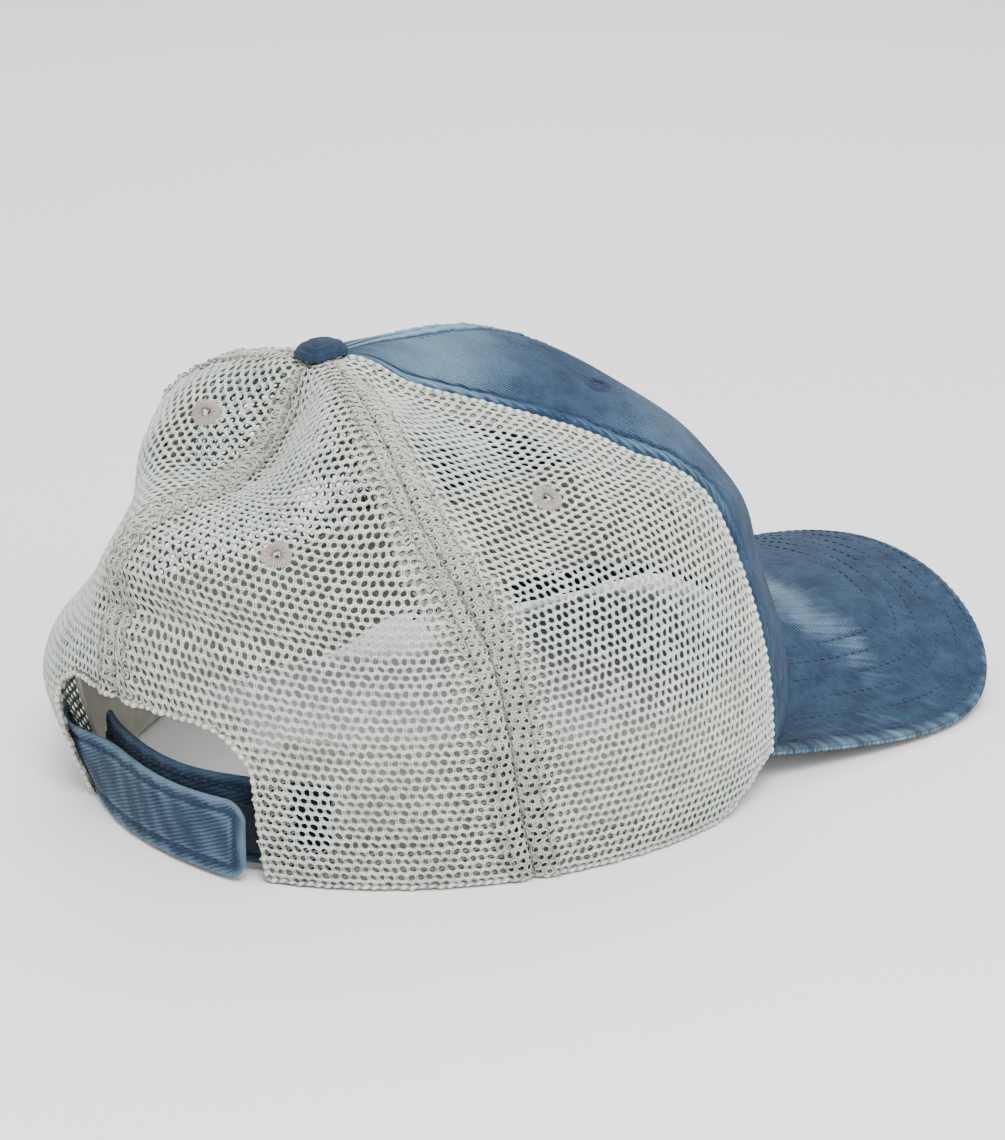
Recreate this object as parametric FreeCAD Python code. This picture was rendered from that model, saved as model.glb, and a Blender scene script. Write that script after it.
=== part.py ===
"""A six-panel mesh-backed cap: two cloth front panels, four knitted mesh panels, a bent peak and
a rear opening with a touch-fastened strap.  Millimetres.  +Z is up, -Y is the front of the head,
+X is the wearer's left.  The origin is the middle of the head opening, on the surface it lies on."""
import FreeCAD, Part
import functools
import math
import os

Vector = FreeCAD.Vector

# ---- driving sizes -------------------------------------------------------------------------
HALF_WIDTH = 84.0          # head opening, half of its side-to-side size
HALF_LENGTH = 97.6         # head opening, half of its front-to-back size
CROWN_HEIGHT = 112.0       # button seat above the hem
BUTTON_X = 14.0            # the crown has slumped: its top stands to the wearer's left
BUTTON_Y = 29.0            # and behind the middle
CLOTH = 0.9                # front panel cloth
MESH = 1.0                 # knitted mesh
PANEL_GAP = 0.3            # between neighbouring panels at a seam
FRONT_SEAM = 58.7          # degrees from the front centre to the seam beside the peak
REAR_SEAM = 111.8          # degrees from the front centre to the seam between the mesh panels
TOP_RISE = 0.975           # the panels stop here, under the button
HEM_LIFT_END = 78.0        # degrees from the front: from here back the hem is level

PEAK_REACH = 70.0          # how far the peak stands out in front of the crown
PEAK_HALF_WIDTH = 79.0
PEAK_BEND = 107.0          # radius of the peak's bend from side to side
PEAK_MIDDLE = 30.7         # top face of the peak at the crown, in the middle
PEAK_DIP = 0.07            # fall per mm towards the front
PEAK_SHAPE = 0.40          # squareness of the peak's outline, 1 = ellipse
PEAK_TOP_CLOTH = 0.5
PEAK_BOARD = 1.5
PEAK_UNDER_CLOTH = 0.4
PEAK_PLY_GAP = 0.1
PEAK_PLY_STEP = 0.25       # each ply's back edge reaches this much further in than the one above
PEAK_TURN = 0.6            # how far the peak's cloth runs past its board
PEAK_CLEAR = 0.5           # between the peak and the front panels' lower edge

BAND_HEIGHT = 34.0         # sweatband
BAND_THICK = 0.9
BAND_INSET = 2.4           # sweatband's outer face inside the crown's outer face
BAND_REAR_INSET = 6.4      # the same where the strap ends lie between
BAND_LIFT = 0.8            # sweatband's lower edge above the hem
LINING_THICK = 0.5
TAPE_THICK = 0.5
TAPE_HALF_WIDTH = 7.0
TAPE_SPREAD = 20.0         # degrees, the most that a tape takes up on each side of its seam
TAPE_CLEAR = 0.35          # between a panel and what is sewn behind it
HEM_TRIM = 4.0             # cut off the back panels' hem to make it flat
HEM_TURN = 8.0             # height of the turned-up hem
TAPE_LIFT = 2.5            # a seam's tape starts this far above the turned hem

ARCH_HALF_WIDTH = 37.0     # rear opening
ARCH_HEIGHT = 40.0
ARCH_CORNER = 15.0
ARCH_FACING = 6.5          # width of the facing round the rear opening

STRAP_HEIGHT = 20.0
STRAP_LOW = 0.6            # strap's lower edge above the hem
UNDER_STRAP_HEIGHT = 22.0
UNDER_STRAP_LOW = 2.4      # the strap below it shows above the upper one
TAIL_RADIUS = 115.0        # the loose tail lies on a flatter arc, so its tip stands off
STRAP_THICK = 1.4
STRAP_CLEAR = 0.3          # between the strap and the mesh that it passes under
STRAP_ROOT_END = -42.0     # degrees about the strap's own centre, + is the wearer's right
STRAP_TIP = 28.5
PEEL_LINE = -8.0
UNDER_STRAP_TIP = -32.0
UNDER_STRAP_END = 43.0
PATCH_MARGIN = 3.0         # bare cloth above and below a fastener patch
HOOK_THICK = 0.45
LOOP_THICK = 0.5
FASTENER_GAP = 0.3
STRAP_CORNER = 6.0         # rounded corners of the strap ends
TAIL_GAP = 0.15            # degrees between the strap and its tail

BUTTON_RADIUS = 7.2
BUTTON_DOME = 3.4
BUTTON_TILT = 8.0          # degrees, towards the back
BUTTON_SEAT = 0.6          # underside of the button above the seat point
BUTTON_COVER = 0.6
PRONG_RADIUS = 1.3
PRONG_LENGTH = 5.0
WASHER_RADIUS = 4.0
EYELET_RADIUS = 3.9
EYELET_HOLE = 0.8
EYELET_THICK = 1.7
EYELET_CLEAR = 0.15

# How the slumped crown stands, at eight lines round it.  The first line is the front centre and
# they go round towards the wearer's right, the back and the left.  Each row is one level, from
# just above the hem to just below the button.  REACH is a share of the hem's own reach, HIGH a
# share of the crown's height, DRIFT the share of the button's offset that the level has.
REACH = (
    (1.03, 1.08, 1.09, 1.04, 0.99, 1.15, 1.05, 1.04),
    (0.94, 1.00, 1.00, 0.99, 0.97, 0.91, 0.99, 0.97),
    (0.79, 0.96, 0.87, 0.92, 0.88, 0.70, 0.89, 0.86),
    (0.66, 0.72, 0.62, 0.72, 0.57, 0.71, 0.68, 0.67),
    (0.42, 0.37, 0.35, 0.39, 0.31, 0.41, 0.38, 0.38),
)
HIGH = (
    (0.24, 0.23, 0.24, 0.25, 0.26, 0.29, 0.24, 0.24),
    (0.46, 0.50, 0.49, 0.47, 0.52, 0.46, 0.49, 0.48),
    (0.68, 0.73, 0.67, 0.64, 0.74, 0.61, 0.71, 0.70),
    (0.90, 0.88, 0.77, 0.77, 0.76, 0.81, 0.85, 0.85),
    (1.04, 0.95, 0.91, 0.94, 0.76, 0.94, 0.95, 0.95),
)
DRIFT = (0.20, 0.27, 0.40, 0.55, 0.78)
LINES = len(REACH[0])

# Eyelets: degrees from the front centre towards the wearer's right, and rise from hem to button
EYELETS = {
    "eyelet_front_right": (35.0, 0.70),
    "eyelet_side_right": (85.0, 0.63),
    "eyelet_back_right": (147.0, 0.575),
    "eyelet_back_left": (213.0, 0.82),
    "eyelet_side_left": (275.0, 0.64),
    "eyelet_front_left": (325.0, 0.69),
}


# ---- the crown's surface -------------------------------------------------------------------
def level(row):
    """The eight points of one level; level 0 is the hem and the last one is the button."""
    last = len(REACH) + 1
    points = []
    for line in range(LINES):
        angle = 2 * math.pi * line / LINES
        if row == 0:
            reach, high, drift = 1.0, 0.0, 0.0
        elif row == last:
            reach, high, drift = 0.0, 1.0, 1.0
        else:
            reach, high, drift = REACH[row - 1][line], HIGH[row - 1][line], DRIFT[row - 1]
        points.append(Vector(
            BUTTON_X * drift - HALF_WIDTH * reach * math.sin(angle),
            BUTTON_Y * drift - HALF_LENGTH * reach * math.cos(angle),
            CROWN_HEIGHT * high))
    return points


LEVELS = [level(row) for row in range(len(REACH) + 2)]


def around(points, angle):
    """The smoothest closed wave through eight evenly spaced points, at an angle in degrees."""
    total = Vector()
    for line in range(LINES):
        turn = math.radians(angle) - 2 * math.pi * line / LINES
        if abs(math.sin(turn / 2)) < 1e-9:
            return points[line]
        weight = math.sin(LINES * turn / 2) / math.tan(turn / 2) / LINES
        total += points[line] * weight
    return total


def skin(angle, rise):
    """A point of the crown's outer face: a cubic B-spline through the levels at this angle."""
    last = len(LEVELS) - 1
    place = min(max(rise, 0.0), 1.0) * last
    step = min(int(place), last - 1)
    part = place - step
    weights = (
        (1 - part) ** 3 / 6,
        (3 * part ** 3 - 6 * part ** 2 + 4) / 6,
        (-3 * part ** 3 + 3 * part ** 2 + 3 * part + 1) / 6,
        part ** 3 / 6)
    total = Vector()
    for weight, row in zip(weights, range(step - 1, step + 3)):
        if row < 0:
            point = around(LEVELS[0], angle) * 2 - around(LEVELS[1], angle)
        elif row > last:
            point = around(LEVELS[last], angle) * 2 - around(LEVELS[last - 1], angle)
        else:
            point = around(LEVELS[row], angle)
        total += point * weight
    return total


def inwards(angle, rise):
    """Unit vector into the crown; level at the hem, so that the hem's edge is flat."""
    across = skin(angle + 0.5, rise) - skin(angle - 0.5, rise)
    along = skin(angle, min(rise + 0.01, 1.0)) - skin(angle, max(rise - 0.01, 0.0))
    way = across.cross(along)
    way.z *= min(1.0, rise / 0.12)
    way.normalize()
    middle = Vector(BUTTON_X * rise, BUTTON_Y * rise, CROWN_HEIGHT * 0.4)
    if way.dot(middle - skin(angle, rise)) < 0:
        way = -way
    return way


def crown(angle, rise, depth=0.0):
    """A point of the crown, depth mm inside its outer face."""
    return skin(angle, rise) + inwards(angle, rise) * depth


def from_front(angle):
    """Degrees between a direction and the front centre, 0 to 180."""
    return abs((angle + 180.0) % 360.0 - 180.0)


def smooth(value, low, high):
    share = min(max((value - low) / (high - low), 0.0), 1.0)
    return share * share * (3 - 2 * share)


def peak_top(x, y):
    """Height of the peak's top face: bent from side to side and dipping to the front."""
    return PEAK_MIDDLE - x * x / (2 * PEAK_BEND) + PEAK_DIP * (y + HALF_LENGTH)


def rise_at(angle, height):
    """The rise at which the crown is this high, near the hem."""
    low, high = 0.0, 0.6
    for _ in range(30):
        middle = (low + high) / 2
        if skin(angle, middle).z < height:
            low = middle
        else:
            high = middle
    return low


@functools.cache
def hem_height(angle):
    """The hem lies flat at the sides and back, and climbs over the peak at the front."""
    away = from_front(angle)
    if away >= HEM_LIFT_END:
        return 0.0
    side = math.copysign(min(away, FRONT_SEAM), 180.0 - angle % 360.0)
    height = PEAK_MIDDLE
    for _ in range(5):
        seat = skin(side, rise_at(side, height))
        height = peak_top(seat.x, seat.y) + PEAK_CLEAR
    return height * (1 - smooth(away, FRONT_SEAM, HEM_LIFT_END))


# ---- solids --------------------------------------------------------------------------------
def slab(outer, inner):
    """A solid between two grids of points of the same size."""
    faces = []
    borders = []
    for rows in (outer, inner):
        surface = Part.BSplineSurface()
        surface.interpolate(rows)
        u0, u1, v0, v1 = surface.bounds()
        faces.append(surface.toShape())
        borders.append([surface.uIso(u0).toShape(), surface.uIso(u1).toShape(),
                        surface.vIso(v0).toShape(), surface.vIso(v1).toShape()])
    for edge_out, edge_in in zip(*borders):
        faces.append(Part.makeRuledSurface(edge_out, edge_in))
    shell = Part.makeShell(faces)
    shell.sewShape()
    solid = Part.makeSolid(shell)
    if solid.Volume < 0:
        solid.reverse()
    return solid


def shares(count):
    return [index / (count - 1) for index in range(count)]


def mix(low, high, share):
    return low + (high - low) * share


def step_size(angle, rise):
    """Millimetres per degree round the crown at this place."""
    return (skin(angle + 0.5, rise) - skin(angle - 0.5, rise)).Length


def panel(start, end, thick, trimmed=False):
    """One crown panel between two seams, from the hem to the button.  Where the whole hem is
    level it is made too long and trimmed, so that it stands on a flat edge."""
    def grid(depth):
        rows = []
        for across in shares(19):
            row = []
            for up in shares(17):
                middle = mix(start, end, across)
                rise = mix(rise_at(middle, hem_height(middle)), TOP_RISE, up)
                half_gap = PANEL_GAP / 2 / step_size(middle, rise)
                angle = mix(start + half_gap, end - half_gap, across)
                low = rise_at(angle, hem_height(angle))
                row.append(crown(angle, mix(low, TOP_RISE, up), depth))
            if trimmed:
                row.insert(0, row[0] + (row[0] - row[1]).normalize() * HEM_TRIM)
            rows.append(row)
        return rows
    solid = slab(grid(0.0), grid(thick))
    if trimmed:
        solid = solid.cut(Part.makeBox(400, 400, 50, Vector(-200, -200, -50)))
    return solid


def seam_tape(seam):
    """The tape that covers a seam's raw edges, inside the crown."""
    start = TAPE_CLEAR + MESH

    def grid(depth):
        rows = []
        for side in (-1.0, -0.33, 0.33, 1.0):
            row = []
            for up in shares(15):
                low = rise_at(seam, hem_height(seam) + HEM_TURN + TAPE_LIFT)
                rise = mix(low, TOP_RISE - 0.01, up)
                half = min(TAPE_HALF_WIDTH / step_size(seam, rise), TAPE_SPREAD)
                row.append(crown(seam + side * half, rise, depth))
            rows.append(row)
        return rows
    return slab(grid(start), grid(start + TAPE_THICK))


def band_point(angle, above_hem, depth):
    """A point of the sweatband: it follows the crown at the front and sides, and stands upright
    at the two rear ends, clear of the strap."""
    height = hem_height(angle) + above_hem
    near = crown(angle, rise_at(angle, height), BAND_INSET + depth)
    turn = math.radians(angle)
    inset = BAND_REAR_INSET + depth
    rear = Vector(-(HALF_WIDTH - inset) * math.sin(turn), -(HALF_LENGTH - inset) * math.cos(turn),
                  height)
    return near + (rear - near) * smooth(from_front(angle), 95.0, 130.0)


def band(end_angle, low, high, depth, thick):
    """A strip of the sweatband's make-up from one end over the front to the other."""
    def grid(inside):
        rows = []
        for across in shares(61):
            angle = mix(-end_angle, end_angle, across)
            rows.append([band_point(angle, mix(low, high, up), inside) for up in shares(4)])
        return rows
    return slab(grid(depth), grid(depth + thick))


def turned_hem(start, end):
    """The hem's turned-up edge behind the mesh, from the rear opening to the peak."""
    first = TAPE_CLEAR + MESH

    def grid(depth):
        rows = []
        for across in shares(13):
            angle = mix(start, end, across)
            low = hem_height(angle) + BAND_LIFT
            rows.append([crown(angle, rise_at(angle, low + HEM_TURN * up), depth)
                         for up in shares(4)])
        return rows
    return slab(grid(first), grid(first + TAPE_THICK))


def arch_block(grow):
    """The rear opening's outline, grown by some mm, as a block that goes through the back."""
    half = ARCH_HALF_WIDTH + grow
    top = ARCH_HEIGHT + grow
    corner = ARCH_CORNER + grow
    bend = corner * (1 - math.sqrt(0.5))
    points = [Vector(-half, 0, -5), Vector(-half, 0, top - corner),
              Vector(-half + bend, 0, top - bend), Vector(-half + corner, 0, top),
              Vector(half - corner, 0, top), Vector(half - bend, 0, top - bend),
              Vector(half, 0, top - corner), Vector(half, 0, -5)]
    edges = [
        Part.LineSegment(points[0], points[1]).toShape(),
        Part.Arc(points[1], points[2], points[3]).toShape(),
        Part.LineSegment(points[3], points[4]).toShape(),
        Part.Arc(points[4], points[5], points[6]).toShape(),
        Part.LineSegment(points[6], points[7]).toShape(),
        Part.LineSegment(points[7], points[0]).toShape(),
    ]
    block = Part.Face(Part.Wire(edges)).extrude(Vector(0, HALF_LENGTH, 0))
    block.translate(Vector(0, HALF_LENGTH * 0.4, 0))
    return block


def arch_facing():
    """The strip that backs the rear opening's edge, above the strap."""
    first = TAPE_CLEAR + MESH
    spread = math.degrees(math.asin((ARCH_HALF_WIDTH + ARCH_FACING) / HALF_WIDTH)) + 6.0

    def grid(depth):
        rows = []
        for across in shares(21):
            angle = mix(180.0 - spread, 180.0 + spread, across)
            rows.append([crown(angle, rise_at(angle, mix(0.0, ARCH_HEIGHT + 14.0, up)), depth)
                         for up in shares(6)])
        return rows
    strip = slab(grid(first), grid(first + TAPE_THICK))
    strip = strip.common(arch_block(ARCH_FACING)).cut(arch_block(0.4))
    floor = UNDER_STRAP_LOW + UNDER_STRAP_HEIGHT + 1.0
    return strip.cut(Part.makeBox(400, 400, floor + 50, Vector(-200, -200, -50)))


def peak_sheet(drop, thick, turn, inner_depth):
    """One ply of the peak: its back edge follows the crown, its front edge is a squared arc."""
    corner_x = HALF_WIDTH * math.sin(math.radians(FRONT_SEAM))
    corner = HALF_LENGTH * math.cos(math.radians(FRONT_SEAM))
    front = HALF_LENGTH + PEAK_REACH

    def grid(down):
        rows = []
        for across in shares(31):
            share = 2 * across - 1
            angle = FRONT_SEAM * share
            seat = crown(angle, rise_at(angle, hem_height(angle)), inner_depth)
            turned = math.copysign(1 - (1 - abs(share)) ** (1 / PEAK_SHAPE), share) * math.pi / 2
            bow = max(math.cos(turned), 0.0) ** PEAK_SHAPE
            half = mix(PEAK_HALF_WIDTH, corner_x, (1 - bow) ** 2) - turn
            rim_x = -half * math.sin(turned)
            rim_y = -corner - (front - turn - corner) * bow
            row = []
            for out in shares(9):
                x = mix(seat.x, rim_x, out)
                y = mix(seat.y, rim_y, out)
                row.append(Vector(x, y, peak_top(x, y) - down))
            rows.append(row)
        return rows
    return slab(grid(drop), grid(drop + thick))


# The strap lies on a circle that fits the back of the hem
STRAP_CENTRE_Y = HALF_LENGTH - HALF_WIDTH ** 2 / HALF_LENGTH
STRAP_OUTER = HALF_LENGTH - STRAP_CENTRE_Y - MESH - STRAP_CLEAR


def on_ring(centre, radius, angle, height=0.0):
    """A point of an upright ring; its angles count from the rear towards the wearer's right."""
    turn = math.radians(angle)
    return centre + Vector(-radius * math.sin(turn), radius * math.cos(turn), height)


STRAP_CENTRE = Vector(0, STRAP_CENTRE_Y, 0)
TAIL_CENTRE = on_ring(STRAP_CENTRE, STRAP_OUTER - TAIL_RADIUS, PEEL_LINE)


def on_tail(angle):
    """The angle on the tail's flatter arc of a place that many degrees round the strap's ring."""
    return PEEL_LINE + (angle - PEEL_LINE) * STRAP_OUTER / TAIL_RADIUS


def ring_piece(outer, thick, start, end, low, high, round_start=0.0, round_end=0.0,
               centre=STRAP_CENTRE):
    """A length of upright ring; its ends may have rounded corners."""
    def arc(radius, bottom):
        return [on_ring(centre, radius, a, bottom) for a in (start, (start + end) / 2, end)]
    far = arc(outer, low)
    near = arc(outer - thick, low)
    edges = [
        Part.Arc(*far).toShape(),
        Part.LineSegment(far[2], near[2]).toShape(),
        Part.Arc(near[2], near[1], near[0]).toShape(),
        Part.LineSegment(near[0], far[0]).toShape(),
    ]
    solid = Part.Face(Part.Wire(edges)).extrude(Vector(0, 0, high - low))
    for angle, radius in ((start, round_start), (end, round_end)):
        if radius > 0:
            upright = [edge for edge in solid.Edges if is_end_corner(edge, angle, low, high, centre)]
            solid = solid.makeFillet(radius, upright)
    return solid


def is_end_corner(edge, angle, low, high, centre):
    """A short edge that runs through the thickness at the ring's end."""
    first, last = edge.Vertexes[0].Point, edge.Vertexes[-1].Point
    if abs(first.z - last.z) > 1e-6 or min(abs(first.z - low), abs(first.z - high)) > 1e-6:
        return False
    for point in (first, last):
        at = math.degrees(math.atan2(centre.x - point.x, point.y - centre.y))
        if abs(at - angle) > 0.01:
            return False
    return True


def button_frame(shape):
    """Set a piece made about the origin on the button's seat."""
    shape.rotate(Vector(), Vector(1, 0, 0), -BUTTON_TILT)
    shape.translate(Vector(BUTTON_X, BUTTON_Y, CROWN_HEIGHT))
    return shape


def dome(radius, height, bottom):
    """A shallow cap of a ball on a flat underside."""
    ball = (radius ** 2 + height ** 2) / (2 * height)
    solid = Part.makeSphere(ball, Vector(0, 0, bottom + height - ball))
    return solid.common(Part.makeCylinder(radius, height, Vector(0, 0, bottom)))


def eyelet(angle, rise):
    """An embroidered ring set in the panel, and the hole that it fills."""
    here = skin(angle, rise)
    way = inwards(angle, rise)
    low = here - way * ((EYELET_THICK - MESH) / 2)
    ring = Part.makeCylinder(EYELET_RADIUS, EYELET_THICK, low, way)
    ring = ring.cut(Part.makeCylinder(EYELET_HOLE, EYELET_THICK * 3, low - way * 2, way))
    hole = Part.makeCylinder(EYELET_RADIUS + EYELET_CLEAR, 8.0, here - way * 4, way)
    return ring, hole


def build():
    pieces = {}
    rings = {name: eyelet(*place) for name, place in EYELETS.items()}
    panels = {
        "front_panel_right": (0.0, FRONT_SEAM, CLOTH, "eyelet_front_right"),
        "side_mesh_right": (FRONT_SEAM, REAR_SEAM, MESH, "eyelet_side_right"),
        "back_mesh_right": (REAR_SEAM, 180.0, MESH, "eyelet_back_right"),
        "back_mesh_left": (180.0, 360.0 - REAR_SEAM, MESH, "eyelet_back_left"),
        "side_mesh_left": (360.0 - REAR_SEAM, 360.0 - FRONT_SEAM, MESH, "eyelet_side_left"),
        "front_panel_left": (360.0 - FRONT_SEAM, 360.0, CLOTH, "eyelet_front_left"),
    }
    for name, (start, end, thick, ring) in panels.items():
        at_back = name.startswith("back")
        shape = panel(start, end, thick, trimmed=at_back).cut(rings[ring][1])
        if at_back:
            shape = shape.cut(arch_block(0.0))
        pieces[name] = shape
        pieces[ring] = rings[ring][0]

    pieces["tape_front_centre"] = seam_tape(0.0)
    pieces["tape_front_right"] = seam_tape(FRONT_SEAM)
    pieces["tape_rear_right"] = seam_tape(REAR_SEAM)
    back_tape = seam_tape(180.0).cut(arch_block(ARCH_FACING + TAPE_CLEAR))
    pieces["tape_back_centre"] = back_tape
    pieces["tape_rear_left"] = seam_tape(360.0 - REAR_SEAM)
    pieces["tape_front_left"] = seam_tape(360.0 - FRONT_SEAM)

    # the band and its lining stop at the rear opening and short of the strap ends
    arch_angle = math.degrees(math.asin(ARCH_HALF_WIDTH / HALF_WIDTH))
    pieces["sweatband"] = band(180.0 - arch_angle - 1.0, BAND_LIFT, BAND_LIFT + BAND_HEIGHT,
                               0.0, BAND_THICK)
    pieces["sweatband_lining"] = band(96.0, BAND_LIFT + 2.0, BAND_LIFT + BAND_HEIGHT - 3.0,
                                      BAND_THICK + TAPE_CLEAR, LINING_THICK)
    hem_start = FRONT_SEAM + 2.0
    hem_end = 180.0 - arch_angle - 8.0
    pieces["hem_turning_right"] = turned_hem(hem_start, hem_end)
    pieces["hem_turning_left"] = turned_hem(360.0 - hem_end, 360.0 - hem_start)
    pieces["opening_facing"] = arch_facing()

    board_drop = PEAK_TOP_CLOTH + PEAK_PLY_GAP
    under_drop = board_drop + PEAK_BOARD + PEAK_PLY_GAP
    deepest = BAND_INSET - TAPE_CLEAR - PEAK_PLY_STEP
    pieces["peak_top_cloth"] = peak_sheet(0.0, PEAK_TOP_CLOTH, 0.0, deepest - 2 * PEAK_PLY_STEP)
    pieces["peak_board"] = peak_sheet(board_drop, PEAK_BOARD, PEAK_TURN, deepest - PEAK_PLY_STEP)
    pieces["peak_under_cloth"] = peak_sheet(under_drop, PEAK_UNDER_CLOTH, 0.0, deepest)

    strap_top = STRAP_LOW + STRAP_HEIGHT
    under_top = UNDER_STRAP_LOW + UNDER_STRAP_HEIGHT
    patch_low = UNDER_STRAP_LOW + PATCH_MARGIN
    patch_high = strap_top - PATCH_MARGIN
    pieces["strap_root"] = ring_piece(STRAP_OUTER, STRAP_THICK, STRAP_ROOT_END, PEEL_LINE,
                                      STRAP_LOW, strap_top)
    pieces["strap_tail"] = ring_piece(TAIL_RADIUS, STRAP_THICK, PEEL_LINE + TAIL_GAP,
                                      on_tail(STRAP_TIP), STRAP_LOW, strap_top,
                                      round_end=STRAP_CORNER, centre=TAIL_CENTRE)
    pieces["hook_patch"] = ring_piece(TAIL_RADIUS - STRAP_THICK, HOOK_THICK, on_tail(1.0),
                                      on_tail(STRAP_TIP - 4.0), patch_low, patch_high,
                                      centre=TAIL_CENTRE)
    loop_outer = STRAP_OUTER - STRAP_THICK - HOOK_THICK - FASTENER_GAP
    pieces["loop_patch"] = ring_piece(loop_outer, LOOP_THICK, UNDER_STRAP_TIP + 2.0,
                                      UNDER_STRAP_END - 14.0, patch_low, patch_high)
    pieces["under_strap"] = ring_piece(loop_outer - LOOP_THICK, STRAP_THICK, UNDER_STRAP_TIP,
                                       UNDER_STRAP_END, UNDER_STRAP_LOW, under_top,
                                       round_start=STRAP_CORNER)

    shell = dome(BUTTON_RADIUS - BUTTON_COVER, BUTTON_DOME - BUTTON_COVER, BUTTON_SEAT)
    cover = dome(BUTTON_RADIUS, BUTTON_DOME, BUTTON_SEAT)
    cover = cover.cut(Part.makeCylinder(BUTTON_RADIUS - BUTTON_COVER, 0.01,
                                        Vector(0, 0, BUTTON_SEAT))).cut(shell)
    hollow = dome(BUTTON_RADIUS - BUTTON_COVER - 0.4, BUTTON_DOME - BUTTON_COVER - 0.4, BUTTON_SEAT)
    pieces["button_cover"] = button_frame(cover)
    pieces["button_shell"] = button_frame(shell.cut(hollow))
    prong = Part.makeCylinder(PRONG_RADIUS, PRONG_LENGTH, Vector(0, 0, BUTTON_SEAT + 1.6),
                              Vector(0, 0, -1))
    washer = Part.makeCylinder(WASHER_RADIUS, 0.6, Vector(0, 0, BUTTON_SEAT + 1.6 - PRONG_LENGTH))
    pieces["button_prong"] = button_frame(prong.fuse(washer))
    return pieces


os.makedirs("parts", exist_ok=True)
for piece_name, piece_shape in build().items():
    piece_shape.exportStep("parts/" + piece_name + ".step")
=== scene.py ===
"""The looks of a slumped mesh-backed cap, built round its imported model.

Every shape is worked out in millimetres on a grid and scaled to metres when its mesh is made.
+Z is up, -Y is the front of the head, +X is the wearer's left."""
import math
import bmesh
import bpy
import numpy as np
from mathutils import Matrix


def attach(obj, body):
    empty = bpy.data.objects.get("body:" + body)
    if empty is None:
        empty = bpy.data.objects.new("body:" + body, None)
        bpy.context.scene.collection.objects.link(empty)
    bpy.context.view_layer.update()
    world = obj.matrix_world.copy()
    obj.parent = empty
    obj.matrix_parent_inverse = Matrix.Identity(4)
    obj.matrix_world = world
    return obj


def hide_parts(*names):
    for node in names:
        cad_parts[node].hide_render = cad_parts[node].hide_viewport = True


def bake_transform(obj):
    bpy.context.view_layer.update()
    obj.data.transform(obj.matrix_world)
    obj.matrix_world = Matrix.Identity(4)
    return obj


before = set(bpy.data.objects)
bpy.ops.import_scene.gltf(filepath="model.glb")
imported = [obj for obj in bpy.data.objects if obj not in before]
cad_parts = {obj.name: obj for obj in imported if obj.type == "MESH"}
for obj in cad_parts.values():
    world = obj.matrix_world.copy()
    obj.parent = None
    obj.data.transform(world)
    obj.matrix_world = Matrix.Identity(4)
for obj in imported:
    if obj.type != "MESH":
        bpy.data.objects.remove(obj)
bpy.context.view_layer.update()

MM = 0.001
dice = np.random.default_rng(11)

# ---- sizes of the model, in millimetres -----------------------------------------------------
HALF_WIDTH = 84.0
HALF_LENGTH = 97.6
CROWN_HEIGHT = 112.0
BUTTON_X = 14.0
BUTTON_Y = 29.0
FRONT_SEAM = 58.7
REAR_SEAM = 111.8
HEM_LIFT_END = 78.0
TOP_RISE = 0.988
PEAK_REACH = 70.0
PEAK_HALF_WIDTH = 79.0
PEAK_BEND = 107.0
PEAK_MIDDLE = 30.7
PEAK_DIP = 0.07
PEAK_SHAPE = 0.40
PEAK_THICK = 2.6
PEAK_CLEAR = 0.5
ARCH_HALF_WIDTH = 37.0
ARCH_HEIGHT = 40.0
ARCH_CORNER = 15.0
BAND_INSET = 2.4
BAND_REAR_INSET = 6.4
BAND_HEIGHT = 34.0
BAND_LIFT = 0.8
BAND_THICK = 0.9
STRAP_HEIGHT = 20.0
STRAP_LOW = 0.6
UNDER_STRAP_HEIGHT = 22.0
UNDER_STRAP_LOW = 2.4
TAIL_RADIUS = 115.0
STRAP_CORNER = 6.0
STRAP_THICK = 1.4
STRAP_CENTRE_Y = HALF_LENGTH - HALF_WIDTH ** 2 / HALF_LENGTH
STRAP_OUTER = HALF_LENGTH - STRAP_CENTRE_Y - 1.3
STRAP_ROOT_END = -42.0
STRAP_TIP = 28.5
PEEL_LINE = -8.0
UNDER_STRAP_TIP = -32.0
UNDER_STRAP_END = 43.0
HOOK_THICK = 0.45
LOOP_THICK = 0.5
FASTENER_GAP = 0.3
STITCH_LIFT = 0.18
UNDER_OUTER = -STRAP_THICK - HOOK_THICK - FASTENER_GAP - LOOP_THICK
STITCH_SINK = 0.28
TAPE_HALF_WIDTH = 6.5
TAPE_DEPTHS = (2.0, 2.4)
BACK_STARTS = 120.0
LINE_LENGTH = 170.0
DEGREE_LENGTH = 1.5

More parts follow.
